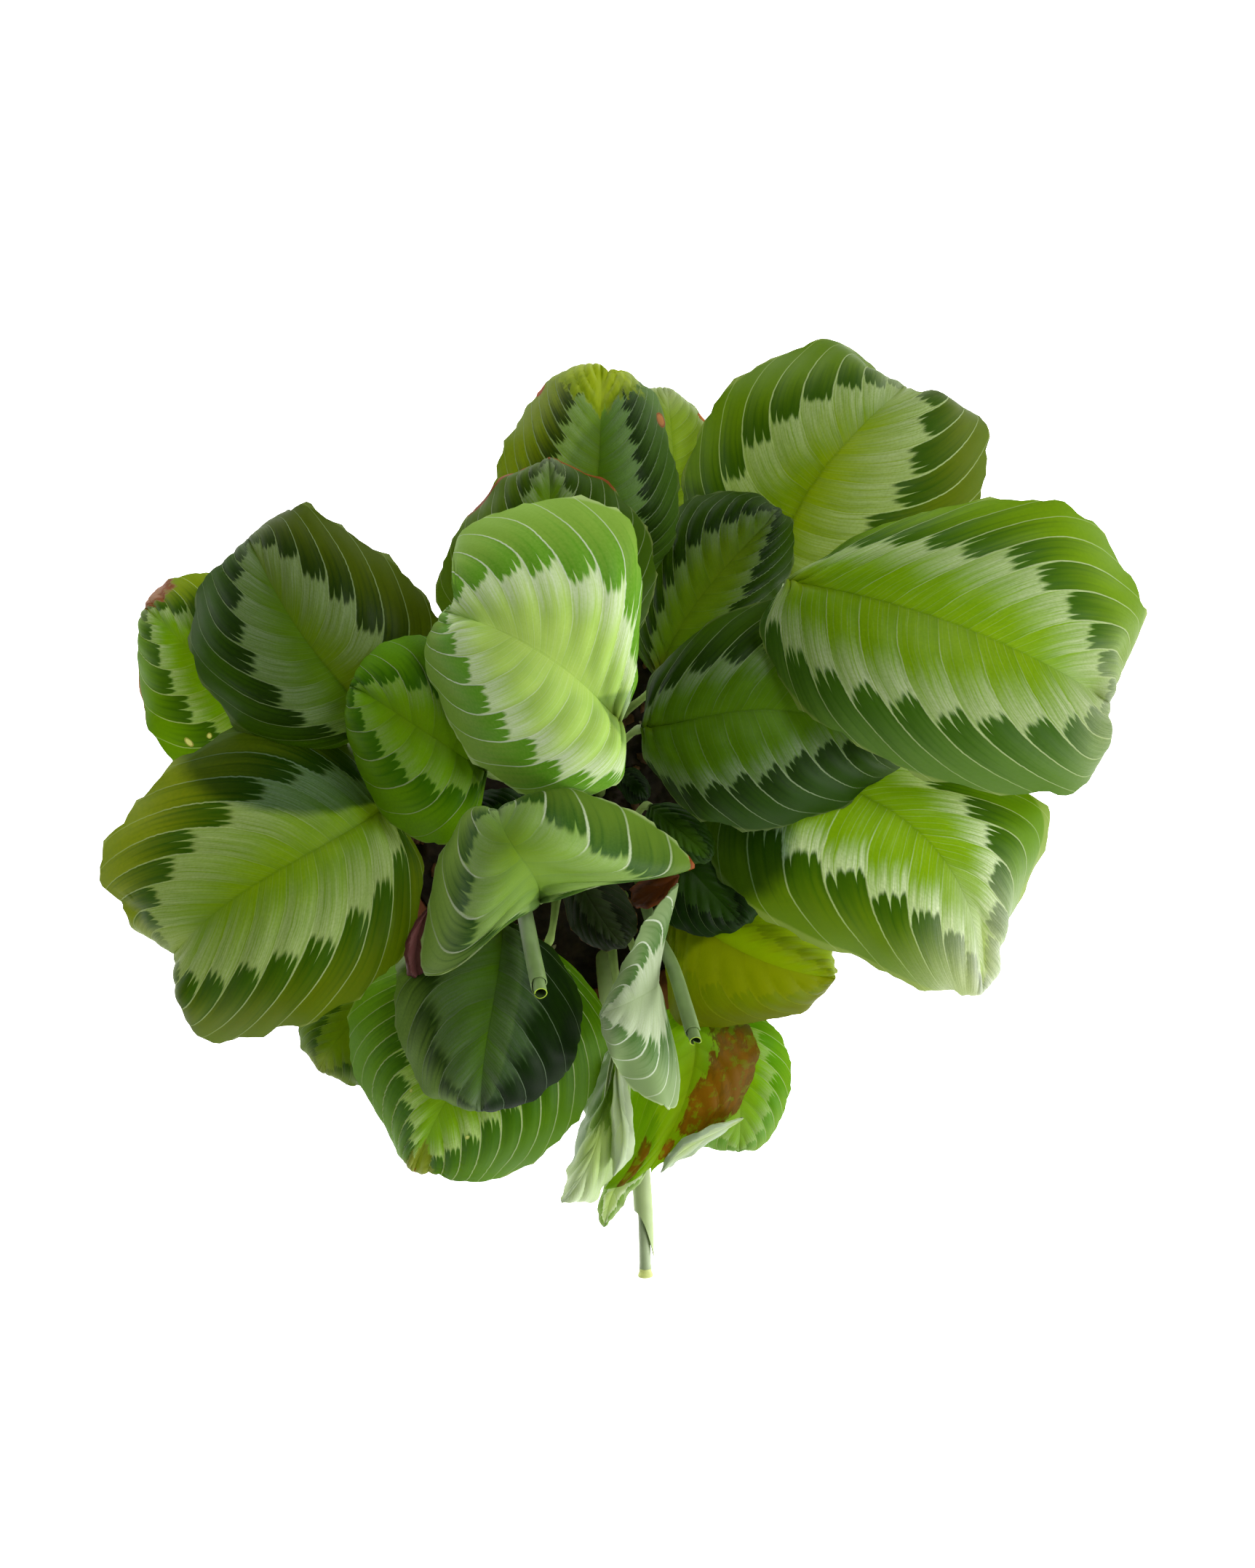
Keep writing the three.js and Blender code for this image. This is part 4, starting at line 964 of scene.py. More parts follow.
vein_lines = new_group(
    "vein lines",
    {"U": 0.5, "V": 0.5, "Spacing": 0.1, "Phase": 0.0, "Width": 0.1, "Sweep": 1.0},
    {"Number": "value", "Reach": "value", "Line": "value", "Left": "value"},
    draw_vein_lines)

# %% [markdown]
# ## Group: feathered band
#
# The silver band is widest at the leaf's base and narrows to the tip. Its edge is stepped:
# between two side veins it runs inwards, and it jumps out again past each vein, with a long
# thin spike along the vein. Three or four short spikes between leave round dark lobes.
# `Depth` says how far a point lies outside the edge.

# %% Feathered band
def draw_feathered_band(tree, wire):
    """The silver area, how far a point is outside it, the dark lobes, and brushed streaks."""
    number, reach = wire["Number"], wire["Reach"]
    share = number.math("FRACT")
    on_number = vector(tree, number, 0.0)
    # The edge steps inwards from one side vein to the next, with a spike along each vein.
    step = (share.flipped() - 0.5) * wire["Step"] + share.flipped() ** 9.0 * 0.1 + share**14.0 * 0.05
    uneven = noise(tree, 0.9, 1.0, at=on_number, seed=4.0) - 0.5
    # Four short spikes in between, of uneven place and length.
    short_number = number * 4.0 + (noise(tree, 1.7, 1.0, at=on_number, seed=5.0) - 0.5) * 2.0
    long_or_short = noise(tree, 5.0, 1.0, at=on_number, seed=6.0).rise(0.3, 0.7)
    spike = short_number.near_whole() ** 3.0
    ragged = noise(tree, 14.0, 2.0, at=vector(tree, number, reach * 0.4), seed=7.0) - 0.5
    edge = wire["Edge"] + step + uneven * 0.14 + ragged * 0.06
    edge = edge + spike * wire["Feather"] * (long_or_short + 0.3)
    # Streaks along the fine veins carry the silver a little outwards or inwards.
    depth = reach - edge
    streak = noise(tree, 1.0, 4.0, 0.7, at=vector(tree, number * 16.0, reach * 2.2), seed=11.0)
    depth = depth + (streak - 0.5) * 0.11
    band = depth.rise(wire["Softness"] * -1.0, wire["Softness"]).flipped()
    # The dark lobes lie just outside the edge and fade at uneven depths.
    fading = noise(tree, 2.2, 2.0, at=vector(tree, number * 2.0, reach), seed=8.0)
    lobe = depth.rise(0.0, wire["Lobe length"] * (fading + 0.45)).flipped()
    return {"Band": band, "Depth": depth, "Lobe": lobe * band.flipped(), "Streak": streak}


feathered_band = new_group(
    "feathered band",
    {"Number": 0.0, "Reach": 0.5, "Edge": 0.55, "Step": 0.1, "Feather": 0.085, "Softness": 0.022,
     "Lobe length": 0.4},
    {"Band": "value", "Depth": "value", "Lobe": "value", "Streak": "value"},
    draw_feathered_band)

# %% [markdown]
# ## Group: leaf paint
#
# This lays the colours: green near the midrib, silver towards the band's edge in brushed
# streaks, dark lobes outside it that fade to plain green before the margin, and the pale
# veins on top. `Glow` is the colour that light takes when it shines through. It is yellower,
# because the silver and the blue-green lie only in the upper skin.

# %% Leaf paint
# Where across the half blade the midrib's line fades out, and where the margin's rim begins.
MIDRIB_LINE = (0.003, 0.014)
RIM_FROM = 0.98
# The share of the margin's rim, the leaf's base, the midrib's line and the grain in the paint.
RIM_SHARE, BASE_SHARE, MIDRIB_SHARE, GRAIN_SHARE = 0.45, 0.7, 0.22, 0.2
# The share of the dark lobes, the painted sheen on the tip and the side veins in the light shining through.
LOBE_THROUGH, SHEEN_THROUGH, LINE_THROUGH = 0.7, 0.6, 0.4
# How high the side veins, the fine veins, the midrib's line and the streaks stand as relief.
LINE_HEIGHT, FINE_HEIGHT, MIDRIB_HEIGHT, STREAK_HEIGHT = 0.4, 0.35, -0.3, 0.2


def draw_leaf_paint(tree, wire):
    """The leaf's colours from the inside outwards, and then what lies over all of them."""
    u, reach, number, band = wire["U"], wire["Reach"], wire["Number"], wire["Band"]
    side = wire["Left"] * 2.0 - 1.0
    cloud = noise(tree, 3.5, 3.0, at=vector(tree, u, reach * side), seed=3.0)
    fine = noise(tree, 1.0, 4.0, 0.65, at=vector(tree, number * 14.0, reach * 3.0), seed=13.0)
    mottled = (cloud - 0.5) * 2.2 + (fine - 0.5) * 1.2
    # Uneven green near the midrib, yellower along it.
    rib_glow = (reach * -3.6).math("EXPONENT") * u.rise(0.0, 0.4) * u.rise(0.6, 1.0).flipped()
    core = mixed(rib_glow * wire["Glow amount"] + mottled * 0.5, wire["Core"], wire["Rib glow"])
    # Painted shade: each cushion between two side veins gets darker towards the next vein, with uneven
    # mottling in it.
    core = mixed(number.math("FRACT") ** 3.0 * 0.3 + mottled * -0.3, core, wire["Shade"])
    # Brushed silver towards the band's edge, and silver lines on the fine and the side veins.
    nearness = (wire["Depth"] * -1.0).rise(0.0, wire["Silver width"]).flipped()
    silver = nearness * (wire["Streak"].rise(0.3, 0.62) * 0.65 + 0.2) + wire["Streak"].rise(0.5, 0.8) * 0.2
    inside = mixed(silver * wire["Silver amount"], core, wire["Silver"])
    fine_veins = (number * 4.0).near_whole().rise(0.86, 1.0) * 0.15
    main_veins = number.near_whole().rise(0.94, 1.0) * reach.rise(0.0, 0.3) * 0.45
    inside = mixed((fine_veins + main_veins) * wire["Silver amount"], inside, wire["Silver"])
    # Outside the band: plain green with dark lobes in it. Each half has its own green, partly the
    # leaf's own colour and partly painted light and shade, with one half lit and the other shaded.
    outer = mixed(wire["Left"], wire["Outer right"], wire["Outer left"])
    outer = mixed(mottled.rise(-0.2, 1.0) * 0.45 + reach.rise(0.8, 1.0) * 0.15, outer, wire["Core"])
    lobe = wire["Lobe"] * ((fine - 0.5) * 0.9 + 1.0)
    outside = mixed(lobe, outer, wire["Dark"])
    paint = mixed(band, outside, inside)
    # Over all of it: pale side veins, a painted sheen on the tip, the midrib, a fine grain, base and rim.
    line = wire["Line"] * wire["Depth"].rise(-0.16, 0.03) * (reach.rise(0.7, 1.0) * -0.6 + 1.0)
    paint = mixed(line * wire["Vein amount"], paint, wire["Vein"])
    # Painted sheen: towards the tip the silver colour is laid over the paint in streaks.
    tip = u.rise(wire["Wash from"], 1.0) * (wire["Streak"].rise(0.3, 0.7) * 0.5 + 0.4) * wire["Tip wash"]
    paint = mixed(tip, paint, wire["Silver"])
    midrib_line = reach.rise(*MIDRIB_LINE).flipped() * u.rise(0.85, 1.0).flipped()
    paint = mixed(midrib_line * MIDRIB_SHARE, paint, wire["Shade"])
    grain = noise(tree, 130.0, 2.0, at=vector(tree, u, reach * side * 0.5), seed=15.0)
    paint = mixed(grain.rise(0.35, 0.7) * GRAIN_SHARE, paint, wire["Shade"])
    base = u.rise(0.0, 0.2).flipped() * reach.rise(0.2, 1.0).flipped()
    paint = mixed(base * BASE_SHARE, paint, wire["Base"])
    paint = mixed(reach.rise(RIM_FROM, 1.0) * RIM_SHARE, paint, wire["Rim"])
    # The colour of light that shines through: silver, lobes and veins hold some of it back. Each
    # half has its own, partly painted light, and the painted sheen pales it at the tip.
    through = mixed(wire["Left"], wire["Through right"], wire["Through left"])
    glow = mixed(wire["Through amount"] * (band * 0.5 + 0.5) * (silver * band * -0.6 + 1.0), paint, through)
    glow = mixed(wire["Lobe"] * LOBE_THROUGH, glow, wire["Dark"])
    glow = mixed(tip * SHEEN_THROUGH, glow, wire["Silver"])
    glow = mixed(line * LINE_THROUGH, glow, wire["Vein"])
    height = (line * LINE_HEIGHT + fine * FINE_HEIGHT + midrib_line * MIDRIB_HEIGHT
              + wire["Streak"] * band * STREAK_HEIGHT)
    return {"Color": paint, "Glow": glow, "Height": height}


leaf_paint = new_group(
    "leaf paint",
    {"U": 0.5, "Reach": 0.5, "Number": 0.0, "Left": 0.0, "Line": 0.0, "Band": 0.0, "Depth": 0.0, "Lobe": 0.0,
     "Streak": 0.5, "Glow amount": 0.7, "Silver amount": 1.0, "Silver width": 0.25, "Vein amount": 0.75,
     "Tip wash": 0.5, "Wash from": 0.84, "Through amount": 0.6,
     "Core": (0.1, 0.3, 0.05), "Rib glow": (0.3, 0.4, 0.05), "Shade": (0.05, 0.12, 0.01),
     "Silver": (0.4, 0.5, 0.35), "Dark": (0.02, 0.07, 0.02), "Outer left": (0.06, 0.15, 0.03),
     "Outer right": (0.06, 0.15, 0.03), "Vein": (0.55, 0.65, 0.45), "Base": (0.2, 0.3, 0.03),
     "Rim": (0.4, 0.45, 0.2), "Through left": (0.5, 0.6, 0.05), "Through right": (0.5, 0.6, 0.05)},
    {"Color": "colour", "Glow": "colour", "Height": "value"},
    draw_leaf_paint)

# %% [markdown]
# ## Group: dried patch and painted light
#
# Old leaves have dried places, mostly at the tip and along the margin. A patch is an oval in
# u and v with a ragged border, and just inside the border it is darker. The same group makes
# brown edges, rusty patches and small pale specks, and also the painted shade under another leaf
# and a painted glow of light shining through a tip.

# %% Dried patch and painted light
def draw_withered_patch_and_painted_light(tree, wire):
    """An oval with a torn outline, with holes in it if wished."""
    du = (wire["U"] - wire["Centre u"]) / wire["Half u"]
    dv = (wire["V"] - wire["Centre v"]) / wire["Half v"]
    far = (du * du + dv * dv).math("SQRT")
    torn = noise(tree, 1.0, 5.0, 0.65, at=vector(tree, wire["U"] * 9.0, wire["V"] * 16.0), seed=21.0) - 0.5
    far = far + torn * wire["Raggedness"]
    patch = far.rise(0.9, 1.05).flipped()
    border = far.rise(0.55, 0.95) * patch
    streaks = noise(tree, 1.0, 4.0, 0.6, at=vector(tree, wire["U"] * 26.0, wire["V"] * 9.0), seed=22.0)
    patch = patch * (streaks.rise(0.5, 0.58) * wire["Holes"]).flipped()
    return {"Patch": patch, "Border": border * patch}


withered_patch_and_painted_light = new_group(
    "dried patch",
    {"U": 0.5, "V": 0.5, "Centre u": 1.0, "Centre v": 0.5, "Half u": 0.1, "Half v": 0.1, "Raggedness": 1.2,
     "Holes": 0.0},
    {"Patch": "value", "Border": "value"},
    draw_withered_patch_and_painted_light)

# %% [markdown]
# ## The palette
#
# A maker's list of greens. Painters name colours as they look on a screen, and Blender's
# shaders count in light, so `light` turns the one into the other.

# %% Palette
def light(code):
    """A colour as it looks on a screen, such as 6a8420, as amounts of light."""
    parts = [int(code[i:i + 2], 16) / 255 for i in (0, 2, 4)]
    return tuple(c / 12.92 if c <= 0.04045 else ((c + 0.055) / 1.055) ** 2.4 for c in parts)


TONES = {
    "bright": dict(core="6a9006", rib_glow="86a408", shade="406800", silver="c4ccb0", dark="305404",
                   outer="4e7c02", vein="c8d4a8", base="7a8c04", rim="a8b468", through="a4c800"),
    "middle": dict(core="5c8008", rib_glow="769608", shade="3a5c00", silver="acb898", dark="284804",
                   outer="467002", vein="bccaa0", base="6c8004", rim="98a460", through="98bc00"),
    "dark": dict(core="3c5e06", rib_glow="547808", shade="284400", silver="7c8c70", dark="182e08",
                 outer="2c4804", vein="9cae88", base="5a7004", rim="7c8c50", through="80a400"),
    "pale": dict(core="b8dc70", rib_glow="cce870", shade="9cc450", silver="f0f8e0", dark="5c981c",
                 outer="a4d04c", vein="ecf4dc", base="a8bc38", rim="d0e0a4", through="c4e440"),
    "olive": dict(core="7c8a00", rib_glow="949c00", shade="606c00", silver="8c9a10", dark="5c6c00",
                  outer="707e00", vein="9ca43c", base="7c8400", rim="949820", through="b8c400"),
    # `deep` is for small leaves deep under others: partly their own dark green, partly painted shade.
    "deep": dict(core="223e06", rib_glow="2a4606", shade="182c06", silver="44583a", dark="112206",
                 outer="1a3408", vein="647450", base="2a4006", rim="445428", through="365c06"),
    "purple": dict(core="44302a", rib_glow="50382c", shade="2c1c18", silver="54403a", dark="2c1c18",
                   outer="3c2824", vein="64504a", base="3c2c20", rim="8c6038", through="50380c"),
}
print("tones:", ", ".join(TONES))

# %% [markdown]
# ## The leaf material
#
# The surface is a satin one with a thin wax, and part of the light goes through it. A mix of
# a Principled and a Translucent shader gives both. The Fresnel gloss of the Principled shader
# makes the drooping tips pale under a bright sky, as on the real leaves, and a painted sheen
# in the paint makes them paler still. Stalks, undersides and soil need less: one colour with
# soft clouds in it.

# %% Leaf material
BAND_START, BAND_LENGTH = 0.15, 0.7
LEAF_ROUGHNESS = 0.42
LEAF_GLOSS = 0.12
WAX_IOR = 1.4
SHADE_TINT = (0.26, 0.38, 0.42)
SHADE_GLOW_TINT = (0.08, 0.15, 0.2)


def new_material(name):
    """A material, its node tree and its Principled shader."""
    material = bpy.data.materials.new(name)
    material.use_nodes = True
    return material, material.node_tree, material.node_tree.nodes["Principled BSDF"]


def add_bump(tree, bsdf, height, strength, distance):
    """Lets a height wire tilt the surface; the distance is in metres."""
    bump = tree.nodes.new("ShaderNodeBump")
    bump.inputs["Strength"].default_value = strength
    bump.inputs["Distance"].default_value = distance
    tree.links.new(height.socket, bump.inputs["Height"])
    tree.links.new(bump.outputs[0], bsdf.inputs["Normal"])


def add_through_light(tree, bsdf, colour, share):
    """Mixes in light that shines through; the colour is a wire or (r, g, b)."""
    through = tree.nodes.new("ShaderNodeBsdfTranslucent")
    if isinstance(colour, Wire):
        tree.links.new(colour.socket, through.inputs["Color"])
    else:
        through.inputs["Color"].default_value = (*colour, 1.0)
    blend = tree.nodes.new("ShaderNodeMixShader")
    blend.inputs[0].default_value = share
    tree.links.new(bsdf.outputs[0], blend.inputs[1])
    tree.links.new(through.outputs[0], blend.inputs[2])
    tree.links.new(blend.outputs[0], tree.nodes["Material Output"].inputs["Surface"])


def leaf_colours(leaf):
    """The leaf's own set of colours, named like the sockets of the leaf paint."""
    tone = {**TONES[leaf["tone"]], **leaf["paint"]}
    for part in ("outer", "through"):
        for side in ("left", "right"):
            tone.setdefault(part + "_" + side, tone[part])
        del tone[part]
    return {name.capitalize(): light(code) for name, code in tone.items()}


def oval(tree, u, v, place, **words):
    """The group for dried patches and painted light at a place (u, v, half u, half v) with v from -1 to 1."""
    centre_u, centre_v, half_u, half_v = place
    return use_group(tree, withered_patch_and_painted_light, U=u, V=v, Centre_u=centre_u, Centre_v=(centre_v + 1) / 2,
                     Half_u=half_u, Half_v=half_v / 2, **words)


def leaf_material(leaf):
    """The upper skin of a leaf, painted from its u and v."""
    material, tree, bsdf = new_material("leaf " + leaf["name"].replace("leaf_", ""))
    uv = tree.nodes.new("ShaderNodeUVMap")
    uv.uv_map = "leaf place"
    parts = tree.nodes.new("ShaderNodeSeparateXYZ")
    tree.links.new(uv.outputs[0], parts.inputs[0])
    u, v = Wire(tree, parts.outputs["X"]), Wire(tree, parts.outputs["Y"])
    veins = use_group(tree, vein_lines, U=u, V=v, Spacing=leaf["spacing"], Phase=leaf["phase"],
                      Sweep=leaf["sweep"], Width=leaf["vein_width"] / leaf["spacing"])
    (right_base, right_tip), (left_base, left_tip) = leaf["band"]
    at_base = veins["Left"] * (left_base - right_base) + right_base
    at_tip = veins["Left"] * (left_tip - right_tip) + right_tip
    edge = at_base + (at_tip - at_base) * ((u - BAND_START) / BAND_LENGTH).math("MAXIMUM", 0.0)
    band = use_group(tree, feathered_band, Number=veins["Number"], Reach=veins["Reach"], Edge=edge,
                     Softness=leaf["softness"])
    paint = use_group(tree, leaf_paint, U=u, **veins, **band, **leaf_colours(leaf),
                      Silver_amount=leaf["silver"], Silver_width=leaf["silver_width"],
                      Tip_wash=leaf["wash"], Wash_from=leaf["wash_from"], Through_amount=leaf["clear"])
    surface, glow = paint["Color"], paint["Glow"]
    # Dried patches; on `leaf_top` one of them is a painted glow of light shining through the tip.
    for *place, inner, border in leaf["patches"]:
        patch_mask = oval(tree, u, v, place, Raggedness=leaf["ragged"], Holes=leaf["holes"])
        surface = mixed(patch_mask["Border"], mixed(patch_mask["Patch"], surface, light(inner)), light(border))
        glow = mixed(patch_mask["Border"], mixed(patch_mask["Patch"], glow, light(inner)), light(border))
    # Painted shade: where another leaf takes the light, the surface and the light through it are darkened.
    for *place, amount in leaf["shades"]:
        dim = oval(tree, u, v, place, Raggedness=0.1)["Patch"] * amount
        surface = mixed(dim, surface, SHADE_TINT, "MULTIPLY")
        glow = mixed(dim, glow, SHADE_GLOW_TINT, "MULTIPLY")
    tree.links.new(surface.socket, bsdf.inputs["Base Color"])
    bsdf.inputs["Roughness"].default_value = LEAF_ROUGHNESS
    bsdf.inputs["IOR"].default_value = WAX_IOR
    bsdf.inputs["Specular IOR Level"].default_value = LEAF_GLOSS
    add_bump(tree, bsdf, paint["Height"], strength=0.35, distance=0.0004)
    add_through_light(tree, bsdf, glow, leaf["thin"])
    return material


def plain_paint(name, code, rough, spread=0.25, scale=60.0, through=None, share=0.4):
    """A cloudy one-colour finish; `spread` is its unevenness, and `through` lets light pass."""
    material, tree, bsdf = new_material(name)
    place = tree.nodes.new("ShaderNodeTexCoord")
    cloud = noise(tree, scale, 4.0, at=Wire(tree, place.outputs["Object"]), seed=1.0)
    darker = tuple(c * (1 - spread) for c in light(code))
    paler = tuple(min(1.0, c * (1 + spread)) for c in light(code))
    paint = mixed(cloud.rise(0.3, 0.7), darker, paler)
    tree.links.new(paint.socket, bsdf.inputs["Base Color"])
    bsdf.inputs["Roughness"].default_value = rough
    add_bump(tree, bsdf, cloud, strength=0.2, distance=0.0003)
    if through:
        add_through_light(tree, bsdf, light(through), share)
    return material


leaf_underside = plain_paint("leaf underside", "8fa070", 0.5, 0.12, 40.0, through="c6d84a", share=0.5)
stalk_skin = plain_paint("stalk skin", "8fa85c", 0.45, 0.2, 120.0, through="b9d070", share=0.2)
print("shared skins:", leaf_underside.name, "and", stalk_skin.name)

# %% [markdown]
# ## Making the leaves
#
# One leaf is two sheets and a tube in one object: the blade with its upper and lower skin,
# and the stalk that runs on as a thinning rib along the underside. The rows crowd towards
# base and tip, where the outline turns quickly.

# %% Leaves
ROWS, COLUMNS = ((97, 65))
BLADE_THICKNESS = 0.5
# The rows lie like points of a half circle seen from the side, from just after 0 to just before pi.
FIRST_ROW, LAST_ROW = 0.06, math.pi - 0.05
STALK_POINTS, RIB_POINTS = 36, 30
STALK_RADIUS, STALK_TAPER = 1.9, 0.9
JOINT_PLACE, JOINT_LENGTH, JOINT_SWELL = 6, 4.0, 0.35
RIB_START, RIB_END = 0.02, 0.93
RIB_BELOW = 1.35


def leaf_parts(leaf):
    """The blade, and for a leaf with a foot also its stalk and rib; lengths are millimetres."""
    rows = (1 - np.cos(np.linspace(FIRST_ROW, LAST_ROW, ROWS))) / 2 * leaf["until"]
    u, v = np.meshgrid(rows, np.linspace(-1, 1, COLUMNS), indexing="ij")
    v = trimmed(leaf, u, v)
    middle = blade(leaf, u, v)
    normals = grid_normals(middle)
    points = middle + normals * relief(leaf, u, v)[..., None]
    sheet = shell(points, np.stack([u, (v + 1) / 2], -1), BLADE_THICKNESS)
    if "foot" not in leaf:
        return [sheet]
    stalk, length = smooth_path(stalk_path(leaf), STALK_POINTS)
    share = np.linspace(0, 1, STALK_POINTS)
    joint = np.exp(-(((1 - share) * length - JOINT_PLACE) / JOINT_LENGTH) ** 2)
    radii = STALK_RADIUS - STALK_TAPER * smooth(0, 0.8, share) + JOINT_SWELL * joint
    ribs = np.linspace(RIB_START, RIB_END * leaf["until"], RIB_POINTS)
    below = np.stack([np.interp(ribs, rows, normals[:, COLUMNS // 2, k]) for k in range(3)], 1)
    rib = blade(leaf, ribs, np.zeros(RIB_POINTS)) - below * RIB_BELOW
    radii = np.concatenate([radii, np.linspace(0.8, 0.2, RIB_POINTS) ** 1.5])
    return [sheet, tube(np.concatenate([stalk, rib]), radii, slot=2)]


for leaf in LEAVES:
    materials = [leaf_material(leaf), leaf_underside, stalk_skin]
    piece = new_piece(leaf["name"] + "_fine", leaf_parts(leaf), materials)
    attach(piece, "root")
    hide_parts(leaf["name"])
print("leaf meshes:", len(LEAVES), "faces each", len(piece.data.polygons))

# %% [markdown]
# ## Folds and curled margins
#
# Four leaves curl over, so that the pale, purple or dried brown side of a margin faces up. Each
# curl is a small blade of its own, told by a midrib and two margins like the leaves, and it
# lies against its leaf where that leaf hides its edge. It has no stalk.

# %% Folds
FOLD_LOOK = dict(band=((0.6, 0.5), (0.6, 0.5)), wave=0.4, quilt=0.15, corner=0.02, wash=0.0, thin=0.35,
                 soft=0.5, size=0.4)
FOLDS = [
    dict(name="arched_curl", of="leaf_arched", tone="purple", spacing=0.3, phase=0.3, bulge=[1.5, 1.5],
         paint=dict(core="8c5450", rib_glow="94605c", shade="6c3c38", silver="9c6c68", dark="744440",
                    outer="84504c", vein="9c7068", rim="b4907c"),
         spine=[(-41, -28, 176), (-44, -35, 173), (-45, -42, 172), (-44, -49, 172)],
         left=[(-39, -31, 175), (-38.5, -37, 173), (-39, -43, 172), (-40, -48, 172)],
         right=[(-44.5, -32, 174), (-47.5, -38, 171), (-48.3, -43, 170), (-47, -48, 170)]),
    dict(name="hanging_tip", of="leaf_hanging", tone="pale", spacing=0.3, phase=0.45, vein_width=0.03,
         bulge=[0.6, 0.6],
         paint=dict(core="b8cc98", dark="78a03c", outer="a4bc80", shade="88a85c"),
         spine=[(20, -109.5, 124), (12, -113.5, 123), (9, -120, 118), (7.4, -128, 113)],
         left=[(18.3, -113, 123), (15, -116.5, 121), (13, -121, 118), (9.5, -125.5, 114)],
         right=[(16, -110, 124), (9.5, -112, 122), (6.8, -116.5, 119), (5.6, -123, 115)]),
    dict(name="hanging_curl", of="leaf_hanging", tone="pale", spacing=0.4, phase=0.1, silver=0.2,
         bulge=[0.3, 0.3],
         paint=dict(core="b4c4a4", dark="a8bc98", outer="a8b898", shade="98ac88", vein="b8c8a8"),
         spine=[(48.5, -92, 137), (38, -97.3, 138), (30.5, -102, 136), (24.5, -109, 130)],
         left=[(44, -95.8, 134), (38.0, -99.8, 134), (32.5, -103.6, 132), (27.2, -107.2, 129)],
         right=[(43, -92.8, 140), (36.5, -95.0, 140), (30.8, -98.2, 138), (26.5, -103.2, 134)]),
    dict(name="small_low_curl", of="leaf_small_low", tone="purple", spacing=0.3, phase=0.2, silver=0.2,
         bulge=[0.8, 0.8],
         paint=dict(core="502808", rib_glow="582c08", outer="64300a", dark="442208", shade="3c1c08",
                    silver="604020", vein="603818", rim="b07840", through="803c08", base="482408"),
         spine=[(29, -19.5, 168), (24.5, -22.5, 166), (20, -25.5, 162), (16, -27, 158)],
         left=[(28, -23.5, 166), (24, -27, 163), (20, -29, 160), (17, -29, 157)],
         right=[(26, -18.5, 168), (22, -19.5, 165), (18, -21.5, 161), (15.5, -24, 158)]),
    dict(name="drooping_fold", of="leaf_drooping", tone="pale", spacing=0.4, phase=0.2, silver=0.3,
         bulge=[0.3, 0.3],
         paint=dict(core="c4d4b0", dark="b8c8a0", outer="bccca4", shade="a8bc8c", vein="d4e0c4"),
         spine=[(11.5, -74, 155), (12.4, -86, 156), (13.2, -96, 151), (10.5, -108.5, 140)],
         left=[(14.3, -79, 154), (15.3, -87, 154), (16.4, -95, 150), (15.6, -103, 143)],
         right=[(10.8, -79, 151), (10.2, -87, 150), (10, -96, 145), (9.8, -103, 139)]),
]
for fold in FOLDS:
    look = {**USUAL, **FOLD_LOOK, **fold}
    piece = new_piece(fold["name"], leaf_parts(look), [leaf_material(look), leaf_underside, stalk_skin])
    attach(piece, "root")
    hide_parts(fold["of"])
print("folds:", ", ".join(fold["name"] for fold in FOLDS))

# %% [markdown]
# ## Rolled young leaves
#
# A new leaf comes up rolled into a tube, and from above its open end shows as a spiral. A
# sheet whose cross-section winds inwards nearly twice, drawn along the path, gives the tube,
# the spiral mouth and the line where the outer edge ends. The outer turn stops a little before
# the mouth, the inside is painted dark as shade, and the cut rim of the mouth is a brighter green.

# %% Rolled leaves
ROLLED = [
    dict(name="rolled_leaf_left", turn=2.2, radii=(1.6, 2.3, 2.5),
         path=[(-13, -8, 97), (-13, -10, 118), (-19, -18, 142), (-15, -28, 172), (-12, -39, 190),
               (-9, -50, 204)]),
    dict(name="rolled_leaf_right", turn=3.6, radii=(1.5, 1.8, 2.2),
         path=[(18, -22, 97), (18, -23, 112), (22, -36, 144), (27, -45, 165), (30, -54, 181),
               (33, -64, 194)]),
]
ROLL_ROWS, ROLL_COLUMNS = 60, 90
WINDING = 1.7
TIGHTENING = 0.24
OUTER_END = 0.965
ROLL_THICKNESS = 0.28
LIP_FROM = 0.99


def rolled_sheet(roll):
    """A sheet wound round a path, with material 0 outside, 1 inside and 2 at the mouth."""
    path, _ = smooth_path(roll["path"], ROLL_ROWS)
    _, side, other = turning_frames(path)
    share = np.linspace(0, 1, ROLL_ROWS)
    wind = np.linspace(0, WINDING, ROLL_COLUMNS)
    angle = 2 * math.pi * wind + roll["turn"]
    place = np.outer(share, OUTER_END + (1 - OUTER_END) * smooth(0.55, 0.95, wind))

    def at(line):
        return np.stack([np.interp(place, share, line[:, axis]) for axis in range(3)], -1)

    radius = np.interp(place, [0, 0.5, 1], roll["radii"]) * (1 - TIGHTENING * wind)
    points = at(path) + at(side) * (radius * np.cos(angle))[..., None]
    points = points + at(other) * (radius * np.sin(angle))[..., None]
    uv = np.stack([place, np.broadcast_to(wind / wind[-1], place.shape)], -1)
    vertices, faces, uv, slots = shell(points[:, ::-1], uv[:, ::-1], ROLL_THICKNESS)
    slots = [2 if uv[face[0]][0] > LIP_FROM else slot for face, slot in zip(faces, slots)]
    return vertices, faces, uv, slots


